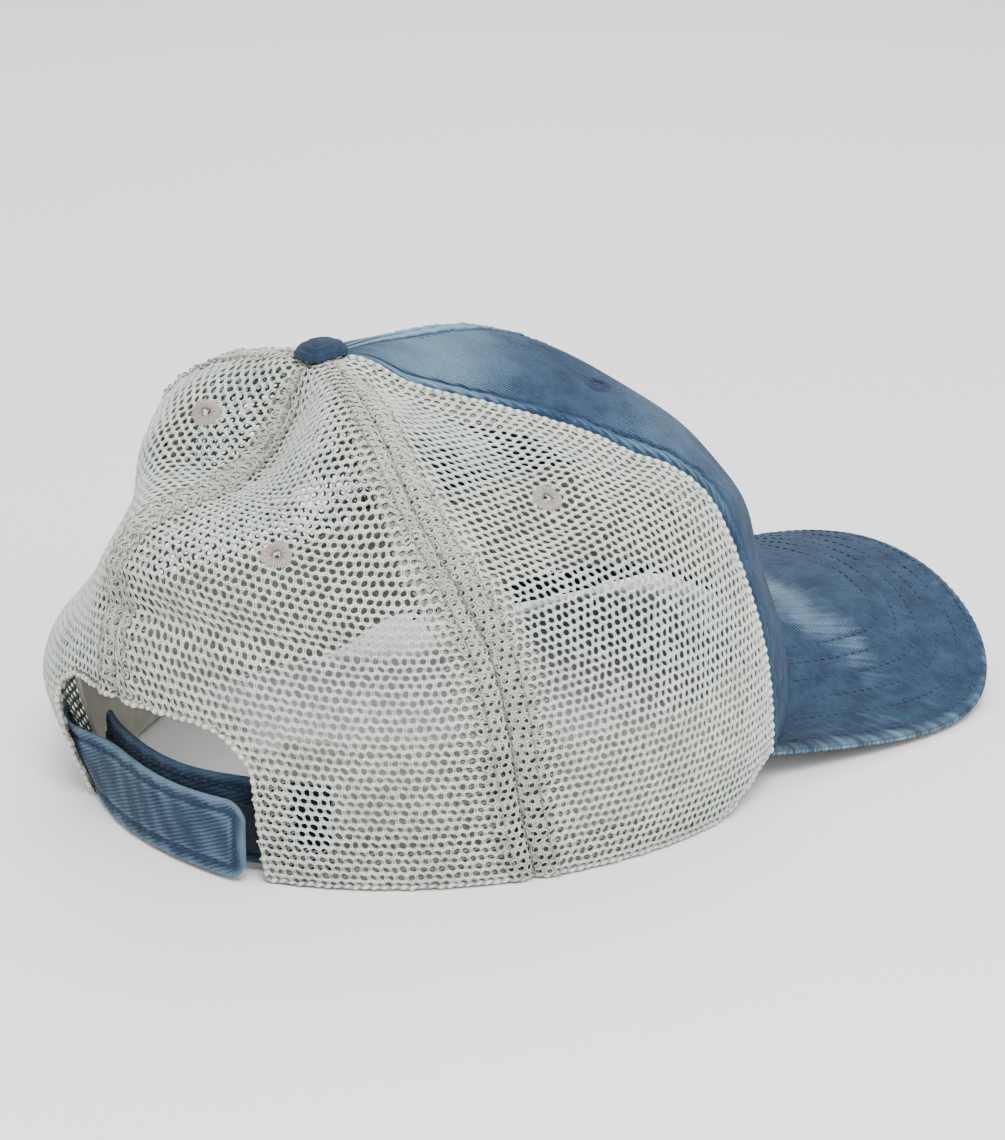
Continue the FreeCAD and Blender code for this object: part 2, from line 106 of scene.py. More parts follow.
# the slumped crown at eight lines round it, from the front centre towards the wearer's right
REACH = np.array([
    (1.00, 1.00, 1.00, 1.00, 1.00, 1.00, 1.00, 1.00),
    (1.03, 1.08, 1.09, 1.04, 0.99, 1.15, 1.05, 1.04),
    (0.94, 1.00, 1.00, 0.99, 0.97, 0.91, 0.99, 0.97),
    (0.79, 0.96, 0.87, 0.92, 0.88, 0.70, 0.89, 0.86),
    (0.66, 0.72, 0.62, 0.72, 0.57, 0.71, 0.68, 0.67),
    (0.42, 0.37, 0.35, 0.39, 0.31, 0.41, 0.38, 0.38),
    (0.00, 0.00, 0.00, 0.00, 0.00, 0.00, 0.00, 0.00),
])
HIGH = np.array([
    (0.00, 0.00, 0.00, 0.00, 0.00, 0.00, 0.00, 0.00),
    (0.24, 0.23, 0.24, 0.25, 0.26, 0.29, 0.24, 0.24),
    (0.46, 0.50, 0.49, 0.47, 0.52, 0.46, 0.49, 0.48),
    (0.68, 0.73, 0.67, 0.64, 0.74, 0.61, 0.71, 0.70),
    (0.90, 0.88, 0.77, 0.77, 0.76, 0.81, 0.85, 0.85),
    (1.04, 0.95, 0.91, 0.94, 0.76, 0.94, 0.95, 0.95),
    (1.00, 1.00, 1.00, 1.00, 1.00, 1.00, 1.00, 1.00),
])
DRIFT = np.array([0.0, 0.20, 0.27, 0.40, 0.55, 0.78, 1.0])
SEAMS = (0.0, FRONT_SEAM, REAR_SEAM, 180.0, 360.0 - REAR_SEAM, 360.0 - FRONT_SEAM)
MESH_SEAMS = SEAMS[2:5]

# knit: distance between holes along a row, between rows, and the hole itself
KNIT_PITCH = 2.3
KNIT_ROW = 2.3
KNIT_HOLE = 0.82
KNIT_WAVE = 0.62
KNIT_YARN = 0.25
KNIT_WELD = 0.012
KNIT_DEPTH = 0.35
SECOND_PLY_DEPTH = 1.15
OVER_PLY_DEPTH = -0.45

# folds of the crown: start (degrees, rise), end (degrees, rise), half-width, height outwards
FOLDS = (
    ((135, 0.40), (190, 0.36), 5.0, -3.0),
    ((135, 0.47), (185, 0.44), 5.0, 2.0),
    ((66, 0.80), (84, 0.50), 5.0, 1.6),
    ((62, 0.62), (100, 0.56), 6.0, -1.2),
    ((40, 0.74), (62, 0.60), 5.0, -1.4),
    ((95, 0.20), (140, 0.26), 9.0, 1.2),
    ((225, 0.30), (260, 0.34), 6.0, -1.6),
    ((300, 0.60), (270, 0.50), 6.0, -1.4),
    ((20, 0.50), (45, 0.40), 8.0, 1.0),
    ((340, 0.55), (315, 0.42), 8.0, 1.0),
)


# ---- the crown's surface --------------------------------------------------------------------
def dirichlet(angle):
    """Weights of the eight lines for the smoothest closed wave through them:
    sin(4x) / tan(x/2) / 8, with x the turn from each line."""
    turn = np.radians(angle)[..., None] - np.arange(8) * math.pi / 4
    near = np.abs(np.sin(turn / 2)) < 1e-9
    safe = np.where(near, 1.0, turn)
    return np.where(near, 1.0, np.sin(4 * safe) / np.tan(safe / 2) / 8)


def bare_skin(angle, rise):
    """The crown's outer face: a cubic B-spline through the levels, each a wave round the head."""
    lines = np.arange(8) * math.pi / 4
    net = np.stack([
        BUTTON_X * DRIFT[:, None] - HALF_WIDTH * REACH * np.sin(lines),
        BUTTON_Y * DRIFT[:, None] - HALF_LENGTH * REACH * np.cos(lines),
        CROWN_HEIGHT * HIGH], -1)
    net = np.concatenate([2 * net[:1] - net[1:2], net, 2 * net[-1:] - net[-2:-1]])
    place = rise * 6
    step = np.clip(place.astype(int), 0, 5)
    part = place - step
    weights = (
        (1 - part) ** 3 / 6,
        (3 * part ** 3 - 6 * part ** 2 + 4) / 6,
        (-3 * part ** 3 + 3 * part ** 2 + 3 * part + 1) / 6,
        part ** 3 / 6)
    round_weights = dirichlet(angle)
    return sum(w[..., None] * np.einsum("...d,...dc->...c", round_weights, net[step + k])
               for k, w in enumerate(weights))


ANGLES = np.linspace(0, 360, 1441)
RISES = np.linspace(0, 1, 501)


def inward_normals(points):
    """Unit normals of the crown grid, turned into the crown, and level at the hem."""
    around = np.gradient(points, axis=0)
    around[0] = around[-1] = points[1] - points[-2]
    up = np.gradient(points, axis=1)
    normal = np.cross(around, up)
    normal[..., 2] *= np.minimum(1.0, RISES / 0.12)
    normal /= np.linalg.norm(normal, axis=-1, keepdims=True) + 1e-12
    middle = np.array([BUTTON_X * 0.5, BUTTON_Y * 0.5, CROWN_HEIGHT * 0.4])
    if ((middle - points) * normal).sum(-1)[:, :400].mean() < 0:
        normal = -normal
    return normal


def smooth(value, low, high):
    """0 below low, 1 above high, and 3s^2 - 2s^3 of the share s between them."""
    share = np.clip((value - low) / (high - low), 0.0, 1.0)
    return share * share * (3 - 2 * share)


def from_front(angle):
    """Degrees away from the front centre, on either side."""
    return np.abs((angle + 180.0) % 360.0 - 180.0)


def degree_size(rise):
    """Rough length in mm of one degree round the crown, which closes up like a dome."""
    return DEGREE_LENGTH * np.sqrt(np.clip(1 - rise ** 2, 0.02, 1))


def seam_away(angle, rise, seam):
    """Rough distance in mm to one seam: degrees away times the length of a degree there."""
    return np.abs((angle - seam + 180) % 360 - 180) * degree_size(rise)


def bead(gap, place, width):
    """exp(-((gap - place) / width)^2)"""
    return np.exp(-((gap - place) / width) ** 2)


def running_length(line):
    """The length along a line up to each of its points."""
    return np.concatenate([[0], np.cumsum(np.linalg.norm(np.diff(line, axis=0), axis=1))])


def build_crown():
    """The crown grid with its folds, the valley along each seam and the puckers beside it.
    A fold is a Gaussian ridge about a line: height * exp(-(distance / width)^2)."""
    angle, rise = np.meshgrid(ANGLES, RISES, indexing="ij")
    points = bare_skin(angle, rise)
    inward = inward_normals(points)
    across = degree_size(rise)
    push = np.zeros_like(angle)
    for (a0, r0), (a1, r1), width, height in FOLDS:
        dx, dy = (a1 - a0) * 1.3, (r1 - r0) * LINE_LENGTH
        length2 = dx * dx + dy * dy
        px, py = (angle - a0) * across, (rise - r0) * LINE_LENGTH
        along = np.clip((px * dx + py * dy) / length2, 0, 1)
        gap = np.hypot(px - along * dx, py - along * dy)
        taper = np.sin(math.pi * (0.12 + 0.76 * along)) ** 0.7
        push += height * taper * bead(gap, 0, width)
    length = rise * LINE_LENGTH
    for index, seam in enumerate(SEAMS):
        away = seam_away(angle, rise, seam)
        mesh_seam = seam in MESH_SEAMS
        valley = (-1.15 if mesh_seam else -0.7) * bead(away, 0, 1.3)
        pucker = 0.38 * np.sin(length * 0.83 + index + 1.2 * np.sin(length * 0.21 + index))
        pucker = pucker * bead(away, 5.0, 4.0) * (1.0 if mesh_seam else 0.45)
        ridge = (0.5 if mesh_seam else 0.12) * bead(away, 4.5, 3.0)
        push += (valley + pucker + ridge) * smooth(1 - rise, 0.03, 0.2)
    slack = 0.5 * np.sin(angle * 0.21 + 2.2 * np.sin(rise * 7)) * np.sin(rise * 17 + angle * 0.05)
    push += slack * smooth(rise, 0.05, 0.2) * smooth(1 - rise, 0.05, 0.3)
    flat = smooth(rise, 0.90, 0.97)
    points = points - inward * push[..., None]
    seat = CROWN_HEIGHT + 0.1 - 0.14 * (points[..., 1] - BUTTON_Y)
    points[..., 2] += flat * (seat - points[..., 2]) * 0.8
    return points, inward_normals(points)


SKIN, INWARD = build_crown()


def crown(angle, rise, depth=0.0):
    """A point depth mm inside the crown's outer face, read from its grid by straight mixing."""
    angle, rise, depth = np.broadcast_arrays(np.asarray(angle, float), rise, depth)
    u = (angle % 360.0) * 4
    v = np.clip(rise, 0, 1) * 500
    i = np.clip(u.astype(int), 0, 1439)
    j = np.clip(v.astype(int), 0, 499)
    fu, fv = (u - i)[..., None], (v - j)[..., None]

    def read(grid):
        return ((grid[i, j] * (1 - fu) + grid[i + 1, j] * fu) * (1 - fv)
                + (grid[i, j + 1] * (1 - fu) + grid[i + 1, j + 1] * fu) * fv)
    return read(SKIN) + read(INWARD) * depth[..., None]


def inward_at(angle, rise):
    """Unit normal into the crown: the way from its face to 1 mm inside it."""
    unit = crown(angle, rise, 1.0) - crown(angle, rise, 0.0)
    return unit / (np.linalg.norm(unit, axis=-1, keepdims=True) + 1e-12)


def peak_top(x, y):
    """Height of the peak's upper face: a parabola across it, and a slope from front to back."""
    return PEAK_MIDDLE - x * x / (2 * PEAK_BEND) + PEAK_DIP * (y + HALF_LENGTH)


def rise_at(angle, height):
    """The rise at which the crown is this high, by halving."""
    angle, height = np.broadcast_arrays(np.asarray(angle, float), height)
    low, high = np.zeros(angle.shape), np.full(angle.shape, 0.6)
    for _ in range(22):
        middle = (low + high) / 2
        under = crown(angle, middle)[..., 2] < height
        low = np.where(under, middle, low)
        high = np.where(under, high, middle)
    return low


def hem_height(angle):
    """Level at the sides and back, climbing over the peak at the front."""
    angle = np.asarray(angle, float) % 360.0
    away = from_front(angle)
    side = np.where(angle > 180, 360 - np.minimum(away, FRONT_SEAM), np.minimum(away, FRONT_SEAM))
    height = np.full(angle.shape, PEAK_MIDDLE)
    for _ in range(5):
        seat = crown(side, rise_at(side, height))
        height = peak_top(seat[..., 0], seat[..., 1]) + PEAK_CLEAR
    return height * (1 - smooth(away, FRONT_SEAM, HEM_LIFT_END))


HEM_HEIGHTS = hem_height(ANGLES)
HEM_RISES = rise_at(ANGLES, HEM_HEIGHTS)


def hem_rise(angle):
    """The crown's rise at its hem, read from a table of every quarter degree."""
    return np.interp(np.asarray(angle) % 360.0, ANGLES, HEM_RISES)


def arch_top(x):
    """Height of the rear opening's edge at this distance from its middle; below 0 outside it."""
    inner = np.clip(np.abs(x) - (ARCH_HALF_WIDTH - ARCH_CORNER), 0, None)
    top = ARCH_HEIGHT - ARCH_CORNER + np.sqrt(np.clip(ARCH_CORNER ** 2 - inner ** 2, 0, None))
    return np.where(np.abs(x) < ARCH_HALF_WIDTH, top, -1.0)


# ---- meshes ---------------------------------------------------------------------------------
def make_mesh(name, points, faces, material, uv=None, weld=0.0, wear_and_shade=None):
    """A mesh from points in mm, faces as rows of indices (an array, or arrays of each size)."""
    mesh = bpy.data.meshes.new(name)
    groups = faces if isinstance(faces, list) else [faces]
    sizes = np.concatenate([np.full(len(g), g.shape[1]) for g in groups])
    corners = np.concatenate([g.ravel() for g in groups])
    mesh.vertices.add(len(points))
    mesh.vertices.foreach_set("co", (np.asarray(points, np.float64) * MM).astype(np.float32).ravel())
    mesh.loops.add(len(corners))
    mesh.loops.foreach_set("vertex_index", corners.astype(np.int32))
    mesh.polygons.add(len(sizes))
    starts = np.concatenate([[0], np.cumsum(sizes)[:-1]])
    mesh.polygons.foreach_set("loop_start", starts.astype(np.int32))
    mesh.polygons.foreach_set("loop_total", sizes.astype(np.int32))
    mesh.update(calc_edges=True)
    if uv is not None:
        layer = mesh.uv_layers.new(name="cloth")
        layer.data.foreach_set("uv", uv[corners].astype(np.float32).ravel())
    # This per-point attribute carries the denim's real wear, and painted shade by relief on the knit,
    # its looped edges and beads, and the eyelets.
    if wear_and_shade is not None:
        attribute = mesh.attributes.new("wear_and_shade", "FLOAT", "POINT")
        attribute.data.foreach_set("value", np.asarray(wear_and_shade, np.float32).ravel())
    if weld:
        work = bmesh.new()
        work.from_mesh(mesh)
        bmesh.ops.remove_doubles(work, verts=work.verts, dist=weld * MM)
        work.to_mesh(mesh)
        work.free()
    mesh.polygons.foreach_set("use_smooth", np.full(len(mesh.polygons), True))
    mesh.materials.append(material)
    piece = bpy.data.objects.new(name, mesh)
    bpy.context.scene.collection.objects.link(piece)
    return piece


def finish_piece(piece, body, slot, *nodes):
    """Attach the piece to what it rides on and hide the nodes it stands for; slot is not used."""
    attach(piece, body)
    if nodes:
        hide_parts(*nodes)
    return piece


def grid_faces(rows, columns, start=0, flip=False, closed_rows=False):
    """Quads of a rows x columns grid of points; closed_rows joins the last row to the first."""
    i, j = np.meshgrid(np.arange(rows if closed_rows else rows - 1), np.arange(columns - 1),
                       indexing="ij")
    k = (i + 1) % rows
    quads = np.stack([i * columns + j, k * columns + j, k * columns + j + 1, i * columns + j + 1], -1)
    quads = quads.reshape(-1, 4) + start
    return quads[:, ::-1] if flip else quads


def lengths(points, axis):
    """Running length along one axis of a grid, for the cloth's own coordinates."""
    step = np.linalg.norm(np.diff(points, axis=axis), axis=-1)
    total = np.cumsum(step, axis=axis)
    pad = [(0, 0), (0, 0)]
    pad[axis] = (1, 0)
    return np.pad(total, pad)


def sheet_solid(name, outer, inner, material, flip=False):
    """A closed sheet between two grids of points; its cloth coordinates are mm on the sheet."""
    rows, columns = outer.shape[:2]
    count = rows * columns
    points = np.concatenate([outer.reshape(-1, 3), inner.reshape(-1, 3)])
    index = np.arange(count).reshape(rows, columns)
    border = np.concatenate([index[:-1, 0], index[-1, :-1], index[:0:-1, -1], index[0, :0:-1]])
    follow = np.roll(border, -1)
    sides = np.stack([border, border + count, follow + count, follow], -1)
    faces = [grid_faces(rows, columns), grid_faces(rows, columns, count, flip=True), sides]
    if flip:
        faces = [f[:, ::-1] for f in faces]
    across = lengths(outer, 0)
    across = across - across[rows // 2][None, :]
    along = lengths(outer, 1)
    uv = np.stack([across, along], -1).reshape(-1, 2)
    return make_mesh(name, points, [np.concatenate(faces)], material, uv=np.concatenate([uv, uv]))


def tube(path, radius, sides, normal=None):
    """Points and faces of a round tube along a path: a circle square to the path's direction
    at each of its points, turned from the normal."""
    ahead = np.roll(path, -1, 0) - np.roll(path, 1, 0)
    ahead[0], ahead[-1] = path[1] - path[0], path[-1] - path[-2]
    ahead /= np.linalg.norm(ahead, axis=1, keepdims=True)
    if normal is None:
        normal = np.tile([0.0, 0.0, 1.0], (len(path), 1))
    side = np.cross(ahead, normal)
    side /= np.linalg.norm(side, axis=1, keepdims=True) + 1e-12
    out = np.cross(side, ahead)
    turn = np.arange(sides) * 2 * math.pi / sides
    radius = np.broadcast_to(radius, (len(path),))[:, None, None]
    ring = (side[:, None] * np.cos(turn)[None, :, None]
            + out[:, None] * np.sin(turn)[None, :, None])
    points = (path[:, None] + ring * radius).reshape(-1, 3)
    i, j = np.meshgrid(np.arange(len(path) - 1), np.arange(sides), indexing="ij")
    k, l = i + 1, (j + 1) % sides
    faces = np.stack([i * sides + j, i * sides + l, k * sides + l, k * sides + j], -1)
    return points, faces.reshape(-1, 4)


def stitches(path, normal, pitch, length, width):
    """A row of stitches: small grains laid along a path, each bulging and dipping at its ends."""
    run = running_length(path)
    centre = np.arange(pitch * 0.5, run[-1] - length * 0.5, pitch)
    read = lambda table, at: np.stack([np.interp(at, run, table[:, k]) for k in range(3)], -1)
    rings = np.linspace(-1, 1, 5)
    sides = np.arange(6) * math.pi / 3
    along = centre[:, None] + rings * length / 2
    spine = read(path, along)
    up = read(normal, along)
    up /= np.linalg.norm(up, axis=-1, keepdims=True)
    ahead = np.gradient(spine, axis=1)
    ahead /= np.linalg.norm(ahead, axis=-1, keepdims=True)
    side = np.cross(ahead, up)
    thick = width * np.array([0.35, 0.9, 1.0, 0.9, 0.35])
    rise = STITCH_LIFT * np.array([-1.2, 0.6, 1.0, 0.6, -1.2])
    ring = (side[:, :, None] * np.cos(sides)[None, None, :, None]
            + up[:, :, None] * np.sin(sides)[None, None, :, None])
    points = (spine[:, :, None] + up[:, :, None] * rise[None, :, None, None]
              + ring * thick[None, :, None, None])
    base = np.arange(len(centre))[:, None, None] * 30
    i, j = np.meshgrid(np.arange(4), np.arange(6), indexing="ij")
    l = (j + 1) % 6
    quads = np.stack([i * 6 + j, i * 6 + l, (i + 1) * 6 + l, (i + 1) * 6 + j], -1).reshape(1, -1, 4)
    caps = np.array([[5, 4, 3, 2, 1, 0], [24, 25, 26, 27, 28, 29]])[None]
    return points.reshape(-1, 3), (quads + base).reshape(-1, 4), (caps + base).reshape(-1, 6)


def stitch_piece(name, rows, material, body, slot, **sizes):
    """One mesh of several rows of stitches; rows are (path, outward normal) pairs."""
    points, quads, caps, start = [], [], [], 0
    for path, normal in rows:
        grains, walls, ends = stitches(path, normal, **sizes)
        points.append(grains)
        quads.append(walls + start)
        caps.append(ends + start)
        start += len(grains)
    piece = make_mesh(name, np.concatenate(points), [np.concatenate(quads), np.concatenate(caps)],
                      material)
    return finish_piece(piece, body, slot)


# ---- materials ------------------------------------------------------------------------------
def start_material(name):
    """A new material with its node tree and its shader."""
    material = bpy.data.materials.new(name)
    material.use_nodes = True
    tree = material.node_tree
    shader = tree.nodes["Principled BSDF"]
    return material, tree, shader


def node(tree, kind, **values):
    """A new node; a value goes to the input of that name, or else to the setting."""
    made = tree.nodes.new(kind)
    for key, value in values.items():
        if key in made.inputs:
            made.inputs[key].default_value = value
        else:
            setattr(made, key, value)
    return made


def link(tree, source, target):
    tree.links.new(source, target)


def arithmetic(tree, operation, first, second):
    """One sum or product of two sockets or numbers."""
    made = tree.nodes.new("ShaderNodeMath")
    made.operation = operation
    for index, value in enumerate((first, second)):
        if isinstance(value, (int, float)):
            made.inputs[index].default_value = value
        else:
            link(tree, value, made.inputs[index])
    return made.outputs[0]


def weighted_sum(tree, *terms):
    """The sum of each socket times its weight; a weight of 1 needs no product."""
    total = None
    for socket, weight in terms:
        part = socket if weight == 1 else arithmetic(tree, "MULTIPLY", socket, weight)
        total = part if total is None else arithmetic(tree, "ADD", total, part)
    return total


def blend_colours(tree, share, first, second):
    """first * (1 - share) + second * share"""
    made = tree.nodes.new("ShaderNodeMix")
    made.data_type = "RGBA"
    for socket, value in ((made.inputs[0], share), (made.inputs[6], first), (made.inputs[7], second)):
        if isinstance(value, (int, float)):
            socket.default_value = value
        elif isinstance(value, tuple):
            socket.default_value = (*value, 1.0)
        else:
            link(tree, value, socket)
    return made.outputs[2]


def ramp(tree, source, low, high):
    """0 up to low, 1 from high, and a straight line between."""
    made = tree.nodes.new("ShaderNodeMapRange")
    made.inputs["From Min"].default_value = low
    made.inputs["From Max"].default_value = high
    link(tree, source, made.inputs["Value"])
    return made.outputs[0]


def noise(tree, coordinates, scale, detail=2.0, rough=0.5):
    """Cloudy noise from 0 to 1, with scale lumps to each unit of the coordinates."""
    made = node(tree, "ShaderNodeTexNoise", Scale=scale, Detail=detail, Roughness=rough)
    link(tree, coordinates, made.inputs["Vector"])
    return made.outputs["Fac"]


def ribs(tree, coordinates, angle, pitch, wander=1.3):
    """Parallel ribs across the cloth: a sine every pitch mm, turned by an angle in degrees."""
    turn = node(tree, "ShaderNodeMapping")
    turn.inputs["Rotation"].default_value = (0, 0, math.radians(angle))
    link(tree, coordinates, turn.inputs["Vector"])
    wave = node(tree, "ShaderNodeTexWave", Scale=2 * math.pi / 20 / pitch, Distortion=wander)
    wave.inputs["Detail"].default_value = 2.0
    wave.inputs["Detail Scale"].default_value = 3.0
    link(tree, turn.outputs[0], wave.inputs["Vector"])
    return wave.outputs["Fac"]


def cloth_coordinates(tree):
    """The piece's own cloth coordinates, in mm on its surface."""
    return node(tree, "ShaderNodeUVMap", uv_map="cloth").outputs[0]


def bump(tree, shader, height, distance):
    """Relief on the shader's normal, distance mm deep."""
    made = node(tree, "ShaderNodeBump", Distance=distance * MM, Strength=1.0)
    link(tree, height, made.inputs["Height"])
    link(tree, made.outputs[0], shader.inputs["Normal"])


def washed_twill(name, deep, middle, worn, rib_angle=-28.0, rib_pitch=0.85, rib_gain=0.24,
                 sheen=0.04):
    """Washed cotton twill: slanting ribs with worn tops, cloudy fading, and pale worn edges."""
    material, tree, shader = start_material(name)
    cloth = cloth_coordinates(tree)
    rib = ribs(tree, cloth, rib_angle, rib_pitch)
    fine = noise(tree, cloth, 2.6, 3.0, 0.6)
    cloud = noise(tree, cloth, 0.11, 4.0, 0.6)
    streak = noise(tree, cloth, 0.45, 3.0, 0.6)
    wear_and_shade = node(tree, "ShaderNodeAttribute", attribute_name="wear_and_shade").outputs["Fac"]
    fade = weighted_sum(tree, (cloud, 1.15), (streak, 0.55))
    base = blend_colours(tree, ramp(tree, fade, 0.62, 1.10), deep, middle)
    rubbed = weighted_sum(tree, (rib, rib_gain), (fine, 0.50), (wear_and_shade, 0.62), (cloud, 0.16))
    colour = blend_colours(tree, ramp(tree, rubbed, 0.44, 1.10), base, worn)
    link(tree, colour, shader.inputs["Base Color"])
    shader.inputs["Roughness"].default_value = 0.86
    shader.inputs["Specular IOR Level"].default_value = 0.22
    shader.inputs["Sheen Weight"].default_value = sheen
    shader.inputs["Sheen Roughness"].default_value = 0.55
    bump(tree, shader, weighted_sum(tree, (rib, 1), (fine, 0.9), (streak, 2.2)), 0.16)
    return material


def yarn_material(name, colour, shade, fibre=0.27, sheen=0.25, depth=0.10):
    """Spun or knitted yarn: fine fibres across the cloth and small changes of tone. The per-point
    attribute mixes it towards the shade colour: where a piece sets that from its relief, this is
    painted shade in its hollows.
    """
    material, tree, shader = start_material(name)
    cloth = cloth_coordinates(tree)
    place = node(tree, "ShaderNodeTexCoord").outputs["Object"]
    fibres = ribs(tree, cloth, 0.0, fibre, 1.5)
    tone = noise(tree, place, 90.0, 3.0, 0.6)
    grain = noise(tree, place, 2600.0, 2.0, 0.6)
    wear_and_shade = node(tree, "ShaderNodeAttribute", attribute_name="wear_and_shade").outputs["Fac"]
    share = weighted_sum(tree, (tone, 0.7), (grain, 0.4), (wear_and_shade, 1))
    link(tree, blend_colours(tree, ramp(tree, share, 0.10, 0.95), shade, colour),
         shader.inputs["Base Color"])
    shader.inputs["Roughness"].default_value = 0.7
    shader.inputs["Specular IOR Level"].default_value = 0.35
    shader.inputs["Sheen Weight"].default_value = sheen
    shader.inputs["Sheen Roughness"].default_value = 0.5
    bump(tree, shader, weighted_sum(tree, (fibres, 1), (grain, 0.8)), depth)
    return material


def fuzzy_material(name, colour, shade):
    """Hook or loop tape: a dense matt pile."""
    material, tree, shader = start_material(name)
    place = node(tree, "ShaderNodeTexCoord").outputs["Object"]
    pile = node(tree, "ShaderNodeTexVoronoi", Scale=1500.0)
    link(tree, place, pile.inputs["Vector"])
    link(tree, blend_colours(tree, pile.outputs["Distance"], colour, shade),
         shader.inputs["Base Color"])
    shader.inputs["Roughness"].default_value = 0.9
    shader.inputs["Sheen Weight"].default_value = 0.03
    bump(tree, shader, pile.outputs["Distance"], 0.35)
    return material


def metal_material(name, colour):
    """Stamped metal: a fine grain that changes its tone a little."""
    material, tree, shader = start_material(name)
    place = node(tree, "ShaderNodeTexCoord").outputs["Object"]
    grain = noise(tree, place, 400.0, 3.0, 0.6)
    shade = tuple(c * 0.8 for c in colour)
    link(tree, blend_colours(tree, grain, shade, colour), shader.inputs["Base Color"])
    shader.inputs["Roughness"].default_value = 0.35
    shader.inputs["Metallic"].default_value = 1.0
    bump(tree, shader, grain, 0.03)
    return material


DENIM = washed_twill("washed_denim", (0.006, 0.021, 0.054), (0.022, 0.058, 0.108),
                     (0.185, 0.305, 0.400))
BUTTON_DENIM = washed_twill("button_denim", (0.006, 0.018, 0.042), (0.014, 0.036, 0.070),
                            (0.060, 0.115, 0.170))
UNDER_DENIM = washed_twill("under_strap_denim", (0.004, 0.010, 0.026), (0.009, 0.022, 0.046),
                           (0.030, 0.060, 0.100), rib_angle=68.0, rib_pitch=1.05)
STRAP_DENIM = washed_twill("strap_denim", (0.006, 0.018, 0.042), (0.016, 0.040, 0.075),
                           (0.095, 0.160, 0.225), rib_angle=68.0, rib_pitch=0.95, rib_gain=0.36)
# The knit's shade colour is what the painted shade in its hollows mixes towards.
KNIT = yarn_material("knit_yarn", (0.72, 0.79, 0.73), (0.22, 0.25, 0.22))
# Painted shade: a darker copy of the knit's yarn for the second ply, the same fabric lying behind the
# outer ply.
SHADED_KNIT_BEHIND = yarn_material("knit_behind_painted_shade", (0.47, 0.445, 0.395), (0.21, 0.19, 0.165))
SEAM_YARN = yarn_material("seam_yarn", (0.69, 0.69, 0.625), (0.24, 0.225, 0.195))
EDGE_YARN = yarn_material("edge_yarn", (0.52, 0.52, 0.48), (0.26, 0.25, 0.23), depth=0.2)
WARM_YARN = yarn_material("warm_thread", (0.30, 0.25, 0.22), (0.10, 0.085, 0.07), depth=0.15)
EYELET_YARN = yarn_material("eyelet_thread", (0.50, 0.44, 0.40), (0.17, 0.145, 0.125), depth=0.15)
DENIM_THREAD = yarn_material("denim_thread", (0.060, 0.115, 0.190), (0.022, 0.050, 0.100),
                             depth=0.15)
DARK_THREAD = yarn_material("dark_thread", (0.016, 0.040, 0.100), (0.006, 0.015, 0.046), depth=0.15,
                            sheen=0.05)
TAPE = yarn_material("seam_tape", (0.40, 0.36, 0.32), (0.24, 0.215, 0.19), fibre=0.6)
BAND = washed_twill("sweatband_twill", (0.40, 0.385, 0.315), (0.52, 0.50, 0.42), (0.62, 0.60, 0.52),
                    rib_angle=30.0, rib_pitch=0.7, sheen=0.15)
PILE = fuzzy_material("fastener_pile", (0.012, 0.022, 0.046), (0.003, 0.005, 0.010))
METAL = metal_material("button_metal", (0.45, 0.46, 0.48))


def set_wear(piece, values):
    """How worn the cloth is at each point, which its material reads."""
    attribute = piece.data.attributes.new("wear_and_shade", "FLOAT", "POINT")
    attribute.data.foreach_set("value", np.asarray(values, np.float32).ravel())


# ---- knitted mesh ---------------------------------------------------------------------------
class Cloth:
    """A panel's own cloth coordinates: mm across from its middle line and mm up from the hem."""

    def __init__(self, start, end):
        self.start, self.end = start, end
        middle = (start + end) / 2
        line = crown(middle, RISES)
        self.run = running_length(line)
        angles = np.linspace(start - 14, end + 14, 161)
        grid = crown(*np.meshgrid(angles, RISES, indexing="ij"))
        step = np.linalg.norm(np.diff(grid, axis=0), axis=-1)
        across = np.concatenate([np.zeros((1, len(RISES))), np.cumsum(step, 0)])
        across -= across[80]
        self.reach = np.arange(-75, 75.25, 0.5)
        self.table = np.stack([np.interp(self.reach, across[:, j], angles)
                               for j in range(len(RISES))], 1)

    def place(self, across, up):
        """(angle, rise) of a place on the cloth."""
        rise = np.interp(up, self.run, RISES)
        u = np.clip((across + 75) * 2, 0, len(self.reach) - 1.001)
        v = np.clip(rise * 500, 0, 499.999)
        i, j = u.astype(int), v.astype(int)
        fu, fv = u - i, v - j
        t = self.table
        angle = ((t[i, j] * (1 - fu) + t[i + 1, j] * fu) * (1 - fv)
                 + (t[i, j + 1] * (1 - fu) + t[i + 1, j + 1] * fu) * fv)
        return angle, rise


def drift(across, up):
    """Small smooth unevenness of the knit."""
    da = 0.16 * np.sin(0.7 * across + 0.9 * up) + 0.12 * np.sin(1.9 * up - 0.4 * across)
    db = 0.14 * np.sin(0.8 * up - 0.6 * across + 1.0) + 0.10 * np.sin(1.7 * across + 0.3 * up)
    return da, db


